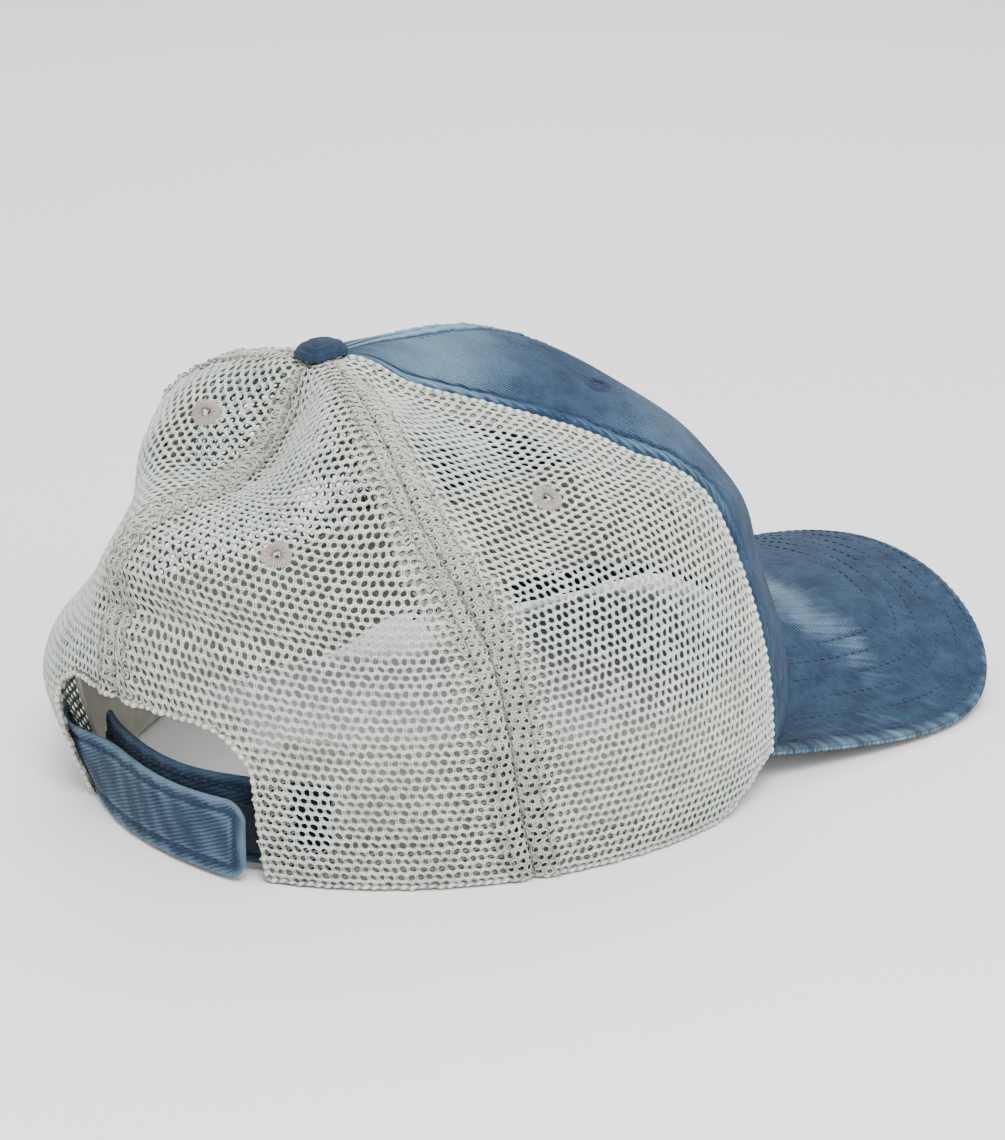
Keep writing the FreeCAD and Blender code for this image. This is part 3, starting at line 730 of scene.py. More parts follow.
def knit(name, cloth, keep, depth, shift=(0.0, 0.0), full=True, material=None, part=None):
    """Knitted mesh: a hexagon round each hole, with a rounded rim, a wall and a back, and a
    raised yarn that waves between the rows.  keep(angle, rise) says which cells are made."""
    rows = np.arange(int(cloth.run[-1] / KNIT_ROW) + 1)
    columns = np.arange(-34, 35)
    j, i = np.meshgrid(rows, columns, indexing="ij")
    a = ((i + 0.5 * (j % 2)) * KNIT_PITCH + shift[0]).ravel()
    b = ((j + 0.5) * KNIT_ROW + shift[1]).ravel()
    angle, rise = cloth.place(a, b)
    wanted = keep(angle, rise)
    if part is not None:
        wanted &= (b >= part[0]) & (b < part[1])
    a, b = a[wanted], b[wanted]
    half, row, wave = KNIT_PITCH / 2, KNIT_ROW / 2, KNIT_WAVE / 2
    corner = np.array([(0, row + wave), (half, row - wave), (half, -row + wave),
                       (0, -row - wave), (-half, -row + wave), (-half, row - wave)])
    edge = np.empty((12, 2))
    edge[0::2] = corner
    edge[1::2] = (corner + np.roll(corner, -1, 0)) / 2
    reach = np.hypot(edge[:, 0], edge[:, 1])
    corners_out = 1 + 0.55 * (reach / reach.mean() - 1)
    ring = edge / reach[:, None] * corners_out[:, None]
    upright = np.abs(edge[:, 1]) / reach
    size = 1 + dice.normal(0, 0.07, len(a))
    size = np.clip(size, 0.84, 1.12)[:, None]
    rim, wall, back = ((ring[None] * (radius * size)[..., None], height) for radius, height in (
        (KNIT_HOLE + 0.16, 0.12 + 0.10 * upright), (KNIT_HOLE, -0.14), (KNIT_HOLE + 0.04, -0.44)))
    layers = [(edge[None], -0.34 + 0.12 * upright), rim, wall]
    if full:
        layers += [back, (edge[None], -0.50)]
    x = np.stack([np.broadcast_to(plan[..., 0], (len(a), 12)) for plan, height in layers], 1)
    y = np.stack([np.broadcast_to(plan[..., 1], (len(a), 12)) for plan, height in layers], 1)
    z = np.stack([np.broadcast_to(height, (len(a), 12)) for plan, height in layers], 1)
    x, y = a[:, None, None] + x, b[:, None, None] + y
    count, per = len(a), len(layers) * 12
    base = np.arange(count)[:, None, None] * per
    k, s = np.meshgrid(np.arange(len(layers) - 1), np.arange(12), indexing="ij")
    n = (s + 1) % 12
    quads = np.stack([k * 12 + s, (k + 1) * 12 + s, (k + 1) * 12 + n, k * 12 + n], -1)
    faces = [(quads.reshape(1, -1, 4)[..., ::-1] + base).reshape(-1, 4)]
    x, y, z = x.reshape(-1), y.reshape(-1), z.reshape(-1)
    if full:
        sides, steps = 5, np.linspace(-1, 1, 5)
        ring_turn = np.arange(sides) * 2 * math.pi / sides + 0.3
        tx = a[:, None, None] + steps[None, :, None] * half
        ty = (b[:, None, None] + row + wave * 1.5 * np.cos(math.pi * steps)[None, :, None]
              + KNIT_YARN * np.cos(ring_turn)[None, None])
        tz = 0.06 + KNIT_YARN * np.sin(ring_turn)[None, None]
        tx, ty, tz = np.broadcast_arrays(tx, ty, tz)
        first = count * per
        tube_base = first + np.arange(count)[:, None, None] * 5 * sides
        k, s = np.meshgrid(np.arange(4), np.arange(sides), indexing="ij")
        n = (s + 1) % sides
        quads = np.stack([k * sides + s, k * sides + n, (k + 1) * sides + n, (k + 1) * sides + s], -1)
        faces.append((quads.reshape(1, -1, 4)[..., ::-1] + tube_base).reshape(-1, 4))
        x = np.concatenate([x, tx.ravel()])
        y = np.concatenate([y, ty.ravel()])
        z = np.concatenate([z, tz.ravel()])
    uv = np.stack([x, y], -1)
    dx, dy = drift(x, y)
    angle, rise = cloth.place(x + dx, y + dy)
    angle = np.clip(angle, cloth.start + 0.12, cloth.end - 0.12)
    rise = np.maximum(rise, hem_rise(angle) + 0.0015)
    rise = np.minimum(rise, TOP_RISE)
    points = crown(angle, rise, depth - z)
    points = points + dice.normal(0, 0.025, points.shape)
    # Painted shade by height: the per-point value is the height in the cell, so the hollows and the
    # hole walls mix towards the shade colour and the raised rims and yarn come out lighter.
    return make_mesh(name, points, faces, material or KNIT, uv=uv, weld=KNIT_WELD, wear_and_shade=z * 1.6)


def in_panel(cloth, angle, rise):
    """Whether a place is between the panel's seams, its hem and the button."""
    inside = (angle > cloth.start - 0.2) & (angle < cloth.end + 0.2)
    return inside & (rise > hem_rise(angle) + 0.002) & (rise < TOP_RISE - 0.004)


def clear_of_arch(angle, rise, margin):
    """Whether a place is margin mm or more above the rear opening, or beside it."""
    here = crown(angle, rise)
    at_back = from_front(angle) > BACK_STARTS
    return ~(at_back & (here[..., 2] < arch_top(here[..., 0]) + margin))


def seam_gap(angle, rise, seams=SEAMS):
    """Rough distance in mm to the nearest seam."""
    return np.min([seam_away(angle, rise, seam) for seam in seams], 0)


def beside_mesh_seam(angle, rise):
    """The folded allowances on either side of the joins between knitted panels."""
    return seam_gap(angle, rise, MESH_SEAMS) < 6.2


def doubled(angle, rise):
    """Where the mesh lies in two plies: beside the seams, along the hem, round the opening."""
    here = crown(angle, rise)
    hem = here[..., 2] < hem_height_fast(angle) + 9.0
    arch = ~clear_of_arch(angle, rise, 8.0) | ((np.abs(here[..., 0]) < ARCH_HALF_WIDTH + 8)
                                               & (here[..., 2] < 34)
                                               & (from_front(angle) > BACK_STARTS))
    return (seam_gap(angle, rise) < 10.5) | hem | arch


def hem_height_fast(angle):
    """The hem's height, read from a table of every quarter degree."""
    return np.interp(np.asarray(angle) % 360.0, ANGLES, HEM_HEIGHTS)


MESH_PANELS = {
    "side_mesh_right": (FRONT_SEAM, REAR_SEAM),
    "back_mesh_right": (REAR_SEAM, 180.0),
    "back_mesh_left": (180.0, 360.0 - REAR_SEAM),
    "side_mesh_left": (360.0 - REAR_SEAM, 360.0 - FRONT_SEAM),
}


def build_mesh_panels():
    """Each knitted panel in two lengths, with a second ply behind its folded borders and the
    seams' folded allowances over it."""
    for panel, (start, end) in MESH_PANELS.items():
        cloth = Cloth(start, end)
        full = lambda angle, rise: in_panel(cloth, angle, rise) & clear_of_arch(angle, rise, 0.6)
        for part, rows in (("lower", (-9, 62)), ("upper", (62, 400))):
            piece = knit(f"{panel}_{part}", cloth, full, KNIT_DEPTH, part=rows)
            finish_piece(piece, "crown", "mesh", panel)
        behind = lambda angle, rise: full(angle, rise) & doubled(angle, rise)
        # The second ply takes the darker yarn: painted shade for lying behind the outer ply.
        piece = knit(f"{panel}_second_ply", cloth, behind, SECOND_PLY_DEPTH, shift=(0.9, 1.0),
                     full=False, material=SHADED_KNIT_BEHIND)
        finish_piece(piece, "crown", "mesh")
        over = lambda angle, rise: full(angle, rise) & beside_mesh_seam(angle, rise)
        piece = knit(f"{panel}_over_ply", cloth, over, OVER_PLY_DEPTH, shift=(0.5, 0.7),
                     full=False, material=SEAM_YARN)
        finish_piece(piece, "crown", "mesh")


# ---- edges, seams, tapes --------------------------------------------------------------------
def arch_path():
    """Places along the rear opening's edge, from its right foot over the top to its left foot:
    two uprights, two quarter circles and a level top."""
    half, top, corner = ARCH_HALF_WIDTH, ARCH_HEIGHT, ARCH_CORNER
    side = np.linspace(1.5, top - corner, 30)
    turn = np.linspace(0, math.pi / 2, 20)[1:]
    bend_x = half - corner + corner * np.cos(turn)
    bend_z = top - corner + corner * np.sin(turn)
    x = np.concatenate([np.full(30, half), bend_x, np.linspace(half - corner, -half + corner, 44)[1:-1],
                        -bend_x[::-1], np.full(30, -half)])
    z = np.concatenate([side, bend_z, np.full(42, top), bend_z[::-1], side[::-1]])
    x = -x
    angle = 180 + np.degrees(np.arcsin(x / HALF_WIDTH))
    for _ in range(25):
        rise = rise_at(angle, z)
        angle += (x - crown(angle, rise)[..., 0]) * 0.6
    return angle, rise


def looped_edge(name, angle, rise, radius, material):
    """A folded knitted edge: a tube with a swelling and a step outwards for every loop."""
    run = running_length(crown(angle, rise))
    fine = np.arange(0, run[-1], 0.23)
    angle, rise = np.interp(fine, run, angle), np.interp(fine, run, rise)
    loop = np.sin(fine * 2 * math.pi / KNIT_PITCH)
    path = crown(angle, rise, 0.45 - 0.12 * loop + 0.16 * np.sin(fine * 0.7))
    path[:, 2] += 0.16 * np.cos(fine * 2 * math.pi / KNIT_PITCH) + 0.12 * np.sin(fine * 0.9 + 1)
    size = radius * (0.92 + 0.14 * loop + 0.16 * np.sin(fine * 0.57) + 0.10 * np.sin(fine * 4.1))
    points, faces = tube(path, size, 8)
    uv = np.stack([np.repeat(fine, 8), np.tile(np.arange(8) * 0.4, len(fine))], -1)
    # Painted shade and highlight: each loop's swelling lighter and the dip between loops darker.
    return make_mesh(name, points, faces, material, uv=uv, wear_and_shade=np.repeat(loop * 0.3, 8))


def step_size(angle, rise):
    """Length in mm of one degree round the crown, measured over two degrees."""
    return np.linalg.norm(crown(angle + 1.0, rise) - crown(angle - 1.0, rise), axis=-1) / 2


def beside_seam(seam, offset, low, high, lift):
    """A line that runs offset mm beside a seam, with its outward normals."""
    rise = np.linspace(low, high, 220)
    angle = seam + offset / np.maximum(step_size(seam, rise), 0.05)
    return crown(angle, rise, -lift), -inward_at(angle, rise)


def build_tapes():
    """A flat strip behind each seam, as wide as its half-width on both sides."""
    names = ("tape_front_centre", "tape_front_right", "tape_rear_right", "tape_back_centre",
             "tape_rear_left", "tape_front_left")
    for seam, name in zip(SEAMS, names):
        low = float(hem_rise(seam)) + 0.05
        if name == "tape_back_centre":
            low = float(rise_at(180.0, ARCH_HEIGHT + 3.0))
        rise = np.linspace(low, TOP_RISE - 0.01, 90)
        half = np.minimum(TAPE_HALF_WIDTH / step_size(seam, rise), 20.0)
        side = np.linspace(-1, 1, 9)
        angle = seam + side[:, None] * half[None]
        outer, inner = (crown(angle, rise[None], depth) for depth in TAPE_DEPTHS)
        piece = sheet_solid(name + "_cloth", outer, inner, TAPE)
        finish_piece(piece, "crown", "tape", name)


def build_edges():
    """The looped edges of the rear opening and of the hem, and the hem's stitches."""
    angle, rise = arch_path()
    roll = looped_edge("opening_edge", angle, rise, 0.62, SEAM_YARN)
    finish_piece(roll, "crown", "mesh", "opening_facing")
    arch = math.degrees(math.asin(ARCH_HALF_WIDTH / HALF_WIDTH))
    for side, low, high in (("right", FRONT_SEAM, 180 - arch),
                            ("left", 180 + arch, 360 - FRONT_SEAM)):
        angle = np.linspace(low, high, 300)
        rise = hem_rise(angle) + 0.004
        roll = looped_edge(f"hem_edge_{side}", angle, rise, 0.50, SEAM_YARN)
        finish_piece(roll, "crown", "mesh", f"hem_turning_{side}")
        hem = rise_at(angle, hem_height_fast(angle) + 2.6)
        line = [(crown(angle, hem, -0.15), -inward_at(angle, hem))]
        stitch_piece(f"hem_stitches_{side}", line, KNIT, "crown", "mesh", pitch=2.3, length=1.9,
                     width=0.24)


def build_seam_lines():
    """The irregular cord-like join of the mesh panels, and the stitches beside each seam."""
    for seam, name in ((REAR_SEAM, "rear_right"), (360 - REAR_SEAM, "rear_left"),
                       (180.0, "back_centre")):
        low = 0.01 if name != "back_centre" else float(rise_at(180.0, ARCH_HEIGHT + 1.0))
        rise = np.linspace(low, TOP_RISE - 0.02, 240)
        step = np.arange(240)
        offset = 0.55 * np.sin(step * 0.9) + 0.40 * np.sin(step * 0.37 + 1)
        angle = seam + offset / np.maximum(step_size(seam, rise), 0.05)
        path = crown(angle, rise, -0.25)
        points, faces = tube(path, 0.42 * (1 + 0.35 * np.sin(step * 1.7)), 6)
        uv = np.stack([np.repeat(step * 0.7, 6), np.tile(np.arange(6) * 0.4, 240)], -1)
        piece = make_mesh(f"seam_join_{name}", points, faces, WARM_YARN, uv=uv)
        finish_piece(piece, "crown", "mesh")
        rows = [beside_seam(seam, side * 5.2, low + 0.02, 0.93, lift=0.75) for side in (-1, 1)]
        stitch_piece(f"seam_stitches_{name}", rows, WARM_YARN, "crown", "mesh_thread", pitch=2.4,
                     length=1.9, width=0.22)


# ---- denim front ----------------------------------------------------------------------------
def build_front_panels():
    """Denim panels.  Two felled ridges run beside the centre seam, and a stitched groove runs
    beside each knitted panel, where the denim dips under the knit's edge."""
    for name, start, end, side_seam in (
            ("front_panel_right", 0.0, FRONT_SEAM, FRONT_SEAM),
            ("front_panel_left", 360 - FRONT_SEAM, 360.0, 360 - FRONT_SEAM)):
        across = np.linspace(0, 1, 131)[:, None]
        up = np.linspace(0, 1, 171)[None]
        angle = start + 0.1 + (end - start - 0.2) * across + 0 * up
        low = hem_rise(angle[:, :1])
        rise = low + (TOP_RISE - low) * up
        middle, side = seam_away(angle, rise, 0.0), seam_away(angle, rise, side_seam)
        run = rise * LINE_LENGTH
        fade = smooth(1 - rise, 0.02, 0.12)
        relief = (0.50 * bead(middle, 3.9, 1.9) - 0.45 * bead(middle, 0, 0.8)
                  - 0.35 * bead(middle, 7.2, 0.9) - 0.50 * bead(side, 0, 1.4)
                  - 0.50 * bead(side, 4.7, 0.75) + 0.15 * bead(side, 2.4, 1.0))
        relief += 0.14 * np.sin(run * 2.3 + np.sin(run * 0.6)) * bead(middle, 4.6, 3.0)
        relief += 0.12 * np.sin(run * 1.7 + 2 * np.sin(run * 0.4)) * bead(side, 4.6, 2.6)
        outer = crown(angle, rise, -relief * fade)
        piece = sheet_solid(name + "_twill", outer, crown(angle, rise, 0.85), DENIM)
        worn = (0.75 * bead(middle, 3.9, 2.2) - 0.9 * bead(middle, 0, 0.7)
                - 0.8 * bead(middle, 7.3, 0.9) - 0.9 * bead(side, 4.7, 0.6)
                - 0.35 * bead(side, 0, 1.5) + 0.22 * bead(side, 2.4, 1.2))
        worn = worn + 0.3 * np.sin(run * 0.13 + 1) * smooth(rise, 0.4, 0.8)
        # Lighter near the top of the panel and darker towards the hem, by rise alone.
        worn = worn + 0.2 * smooth(rise, 0.6, 1) - 0.8 * smooth(0.5 - rise, 0.0, 0.25)
        set_wear(piece, np.concatenate([worn.ravel(), worn.ravel() * 0]))
        finish_piece(piece, "crown", "cloth", name)
    low = float(hem_rise(0.0)) + 0.01
    rows = [beside_seam(0.0, side * away, low, 0.90, lift=0.0)
            for side in (-1, 1) for away in (2.4, 5.4)]
    stitch_piece("centre_stitches", rows, DENIM_THREAD, "crown", "cloth_thread", pitch=2.2,
                 length=1.7, width=0.24)
    rows = []
    for seam, side in ((FRONT_SEAM, -1), (360 - FRONT_SEAM, 1)):
        low = float(hem_rise(seam)) + 0.01
        rows.append(beside_seam(seam, side * 4.7, low, 0.94, lift=-0.42))
    stitch_piece("side_stitches", rows, DARK_THREAD, "crown", "cloth_thread", pitch=2.5,
                 length=2.0, width=0.26)


def build_knit_beads():
    """The knit's looped edge, which stands proud over the denim: a roll with a swelling for
    every loop."""
    for seam, side, name in ((FRONT_SEAM, 1, "right"), (360 - FRONT_SEAM, -1, "left")):
        rise = np.linspace(float(hem_rise(seam)), TOP_RISE - 0.02, 700)
        run = running_length(crown(seam, rise))
        loop = np.sin(run * 2 * math.pi / 2.35)
        offset = side * (0.75 + 0.18 * loop + 0.12 * np.sin(run * 0.31))
        angle = seam + offset / np.maximum(step_size(seam, rise), 0.05)
        radius = 0.62 + 0.16 * loop + 0.05 * np.sin(run * 1.13)
        points, faces = tube(crown(angle, rise, -0.12), radius, 8, normal=-inward_at(angle, rise))
        uv = np.stack([np.repeat(run, 8), np.tile(np.arange(8) * 0.5, len(run))], -1)
        # Painted shade and highlight: each loop's swelling lighter and the dip between loops darker.
        piece = make_mesh(f"knit_beads_{name}", points, faces, KNIT, uv=uv,
                          wear_and_shade=np.repeat(loop * 0.3, 8))
        finish_piece(piece, "crown", "mesh")


# ---- eyelets and button ---------------------------------------------------------------------
EYELETS = {
    "eyelet_front_right": (35.0, 0.70, "cloth_thread"),
    "eyelet_side_right": (85.0, 0.63, "mesh_thread"),
    "eyelet_back_right": (147.0, 0.575, "mesh_thread"),
    "eyelet_back_left": (213.0, 0.82, "mesh_thread"),
    "eyelet_side_left": (275.0, 0.64, "mesh_thread"),
    "eyelet_front_left": (325.0, 0.69, "cloth_thread"),
}


def build_eyelets():
    """Each eyelet is a disc of radial threads round a small hole: its height follows a bow
    from the hole to the rim, with a ridge for every thread."""
    spokes, rings = 150, 11
    turn = np.arange(spokes) * 2 * math.pi / spokes
    share = np.linspace(0, 1, rings)
    for name, (angle, rise, slot) in EYELETS.items():
        centre = crown(angle, rise)
        out = -inward_at(angle, rise)
        side = np.cross(out, [0, 0, 1.0])
        side /= np.linalg.norm(side)
        up = np.cross(side, out)
        radius = 0.85 + (3.75 - 0.85) * share[None, :] + 0.16 * np.sin(turn * 3 + angle)[:, None]
        radius = radius + 0.12 * dice.normal(size=(spokes, 1)) * share[None] ** 3
        thread = np.abs(np.sin(turn * 15))[:, None] * 0.34 * np.sin(math.pi * share * 0.9 + 0.2)[None]
        bow = np.sin(math.pi * share * 0.85 + 0.25)[None] * 0.55 - 0.1 - 0.9 * (share[None] == 0)
        height = bow * 0.7 + thread - 0.05
        spoke = np.cos(turn)[:, None, None] * side + np.sin(turn)[:, None, None] * up
        points = centre + radius[..., None] * spoke + height[..., None] * out
        under = centre + radius[:, -1:, None] * spoke - 0.5 * out
        hole = points[:, :1] - 1.1 * out
        grid = np.concatenate([hole, points, under], 1)
        faces = grid_faces(spokes, rings + 2, closed_rows=True, flip=True)
        uv = np.stack([np.repeat(turn * 3, rings + 2), np.tile(np.arange(rings + 2) * 0.3, spokes)], -1)
        thread_cloth = DARK_THREAD if slot == "cloth_thread" else EYELET_YARN
        # Painted shade: darker between the threads, on the two inner rings, down the hole's wall and
        # under the rim, and lighter on the threads' ridges.
        tone = np.abs(np.sin(turn * 15))[:, None] * 0.7 - 0.35 + 0 * share[None]
        tone[:, :2] -= 0.5
        tone = np.concatenate([tone[:, :1] - 1.2, tone, tone[:, -1:] - 0.3], 1)
        piece = make_mesh(name + "_threads", grid.reshape(-1, 3), faces, thread_cloth, uv=uv, wear_and_shade=tone)
        finish_piece(piece, "crown", slot, name)


def build_button():
    """Cloth drawn over a domed shell: rings of small pleats that deepen towards the rim."""
    spokes, rings = 120, 34
    turn = np.arange(spokes)[:, None] * 2 * math.pi / spokes
    share = np.linspace(0, 1, rings)[None]
    sweep = share * 1.25 * math.pi / 2
    radius = 6.85 * np.sin(np.minimum(sweep, math.pi / 2)) - 2.2 * smooth(sweep, math.pi / 2, 2.0)
    height = 0.9 + 3.1 * np.cos(np.minimum(sweep, math.pi / 2)) - 1.1 * smooth(sweep, math.pi / 2, 2.0)
    pleat = 0.16 * np.sin(turn * 17 + 2 * np.sin(turn * 3)) * smooth(share, 0.35, 0.8)
    rings_round = 0.24 * np.sin(share * 26 + np.sin(turn * 2) + 0.5 * np.sin(turn * 5))
    lump = 0.12 * np.sin(turn * 4 + share * 5)
    radius = radius + (pleat + lump) * share
    height = height + rings_round * smooth(share, 0.05, 0.3) * smooth(1 - share, 0.1, 0.3)
    x, y = radius * np.cos(turn), radius * np.sin(turn)
    tilt = math.radians(8)
    z = height + 0 * x
    seat = np.array([BUTTON_X, BUTTON_Y, CROWN_HEIGHT])
    points = seat + np.stack([x, y * math.cos(tilt) + z * math.sin(tilt),
                              z * math.cos(tilt) - y * math.sin(tilt)], -1)
    faces = grid_faces(spokes, rings, closed_rows=True, flip=True)
    uv = np.stack([x, y], -1).reshape(-1, 2)
    piece = make_mesh("button_cloth", points.reshape(-1, 3), faces, BUTTON_DENIM, uv=uv, weld=0.02)
    set_tone_by_height(piece, CROWN_HEIGHT + 0.8, CROWN_HEIGHT + 5.0)
    finish_piece(piece, "crown", "cloth", "button_cover")


def set_tone_by_height(piece, low, high):
    """A tone that grows lighter from the height low to the height high, and is darker below."""
    co = np.empty(len(piece.data.vertices) * 3, np.float32)
    piece.data.vertices.foreach_get("co", co)
    z = co.reshape(-1, 3)[:, 2] / MM
    set_wear(piece, 0.8 * smooth(z, low, high) - 0.7)


# ---- peak -----------------------------------------------------------------------------------
def peak_plan(across, out):
    """(x, y) on the peak: straight mixing from the crown at the hem to the rim, whose squared
    arc is half * sin(t) wide and cos(t) ** shape long."""
    corner_x = HALF_WIDTH * math.sin(math.radians(FRONT_SEAM))
    corner = HALF_LENGTH * math.cos(math.radians(FRONT_SEAM))
    share = 2 * across - 1
    angle = FRONT_SEAM * share
    seat = crown(angle, rise_at(angle, hem_height(angle)), 1.6)
    turned = np.copysign(1 - (1 - np.abs(share)) ** (1 / PEAK_SHAPE), share) * math.pi / 2
    bow = np.maximum(np.cos(turned), 0) ** PEAK_SHAPE
    half = PEAK_HALF_WIDTH + (corner_x - PEAK_HALF_WIDTH) * (1 - bow) ** 2
    rim_x = -half * np.sin(turned)
    rim_y = -corner - (HALF_LENGTH + PEAK_REACH - corner) * bow
    return seat[..., 0] + (rim_x - seat[..., 0]) * out, seat[..., 1] + (rim_y - seat[..., 1]) * out


def rim_line():
    """700 places along the peak's rim, from the wearer's left to the right."""
    return np.stack(peak_plan(np.linspace(0, 1, 700), np.ones(700)), -1)


def rim_gap(x, y, rim):
    """Distance in mm from each place on the peak to its rim."""
    flat = np.stack([x.ravel(), y.ravel()], -1)
    gap = np.empty(len(flat))
    for start in range(0, len(flat), 20000):
        block = flat[start:start + 20000]
        gap[start:start + 20000] = np.sqrt(((block[:, None] - rim[None]) ** 2).sum(-1).min(1))
    return gap.reshape(x.shape)


PEAK_ROWS = (2.6, 8.4, 14.2, 20.0, 25.8, 31.6)


def build_peak():
    """Two plies over a board.  Rows of stitching run beside the rim: each is a groove
    -depth * exp(-((gap - row) / 0.75)^2) with soft welts between."""
    rim = rim_line()
    across = np.linspace(0, 1, 281)[:, None]
    out = np.linspace(0, 1, 105)[None]
    x, y = peak_plan(across + 0 * out, out + 0 * across)
    gap = rim_gap(x, y, rim)
    z = peak_top(x, y)
    edge = np.clip(gap / 1.3, 0, 1)
    round_off = 1.3 * (1 - np.sqrt(1 - (1 - edge) ** 2))
    groove = sum(bead(gap, row, 0.75) for row in PEAK_ROWS)
    run = np.degrees(np.arctan2(x, -y - 10))
    pucker = np.sin(run * 3.1 + gap * 0.9) * np.sin(run * 1.3 + 2) * np.exp(-gap / 40)
    relief = -0.20 * groove + 0.16 * pucker + 0.12 * np.sin(run * 0.5 + gap * 0.3)
    relief = relief * smooth(gap, 0.3, 2.0)
    top = np.stack([x, y, z - round_off - 0.1 + relief], -1)
    under = np.stack([x, y, z - PEAK_THICK + round_off + 0.1 - relief * 0.6], -1)
    piece = sheet_solid("peak_twill", top, under, DENIM, flip=True)
    patch = np.sin(x * 0.17 + 1.3 * np.sin(y * 0.11)) * np.sin(y * 0.19 + 0.9 * np.sin(x * 0.13))
    # Besides the lighter rim and darker stitched grooves, two fixed patches make the peak lighter on
    # the wearer's right near the crown and darker in its middle.
    worn = (0.45 * bead(gap, 0, 1.6) + 0.42 * bead(gap, 0, 9.0) - 0.20 * groove + 0.22 * patch
            + 1.05 * np.exp(-((x + 30) / 30) ** 2 - ((y + 106) / 13) ** 2)
            - 0.35 * np.exp(-((x + 20) / 45) ** 2 - ((y + 135) / 18) ** 2) + 0.3 * pucker - 0.60)
    set_wear(piece, np.concatenate([worn.ravel(), worn.ravel()]))
    finish_piece(piece, "crown", "cloth", "peak_top_cloth", "peak_board", "peak_under_cloth")

    rows, under_rows = [], []
    for row in PEAK_ROWS:
        line = peak_contour(rim, row)
        height = peak_top(line[:, 0], line[:, 1])
        up = np.stack([line[:, 0] / PEAK_BEND, 0 * height, 1 + 0 * height], -1)
        rows.append((np.column_stack([line, height - 0.30]), up))
        under_rows.append((np.column_stack([line, height - PEAK_THICK + 0.2]), -up))
    stitch_piece("peak_stitches", rows, DARK_THREAD, "crown", "cloth_thread", pitch=2.9,
                 length=2.3, width=0.26)
    stitch_piece("peak_under_stitches", under_rows, DARK_THREAD, "crown", "cloth_thread",
                 pitch=2.9, length=2.3, width=0.24)


def peak_contour(rim, gap):
    """A line that runs gap mm inside the rim, cut where it meets the crown."""
    ahead = np.gradient(rim, axis=0)
    ahead /= np.linalg.norm(ahead, axis=1, keepdims=True)
    inside = np.stack([ahead[:, 1], -ahead[:, 0]], -1)
    if ((np.array([0, -90.0]) - rim) * inside).sum() < 0:
        inside = -inside
    line = rim + inside * gap
    far = np.sqrt(((line[:, None] - rim[None]) ** 2).sum(-1).min(1))
    angle = -np.degrees(np.arctan2(line[:, 0] / HALF_WIDTH, -line[:, 1] / HALF_LENGTH))
    seat = crown(angle, hem_rise(angle))
    outside = np.hypot(line[:, 0], line[:, 1]) > np.hypot(seat[:, 0], seat[:, 1]) + 0.6
    return line[(far > gap - 0.25) & outside]


# ---- straps ---------------------------------------------------------------------------------
def sewn_lean(turn, height):
    """How far the sewn end leans out: as far as the crown bulges over its hem there."""
    side = np.clip(-turn, 0, 60)
    x = STRAP_OUTER * np.sin(np.radians(side))
    angle = 180 + np.degrees(np.arcsin(np.clip(x / HALF_WIDTH, -1, 1)))
    here = crown(angle, rise_at(angle, np.clip(height, 0, 40)))
    hem = crown(angle, 0 * angle)
    bulge = np.hypot(here[..., 0], here[..., 1]) - np.hypot(hem[..., 0], hem[..., 1])
    return np.clip(bulge, 0, 9) * smooth(side, 12, 34)


def strap_place(turn, out, height, loose=True):
    """A place out mm outside a strap's outer face.  It is an upright ring; past the peel line
    the loose strap goes on along a flatter arc, and at its sewn end it leans out."""
    turn, out, height = np.broadcast_arrays(np.asarray(turn, float), out, height)
    peel = math.radians(PEEL_LINE)
    tail = (turn > PEEL_LINE) & loose
    radius = np.where(tail, TAIL_RADIUS, STRAP_OUTER)
    angle = np.where(tail, peel + np.radians(turn - PEEL_LINE) * STRAP_OUTER / TAIL_RADIUS,
                     np.radians(turn))
    back = STRAP_OUTER - radius
    reach = radius + out + (sewn_lean(turn, height) if loose else 0)
    x = -back * math.sin(peel) - reach * np.sin(angle)
    y = STRAP_CENTRE_Y + back * math.cos(peel) + reach * np.cos(angle)
    return np.stack([x, y, height], -1)


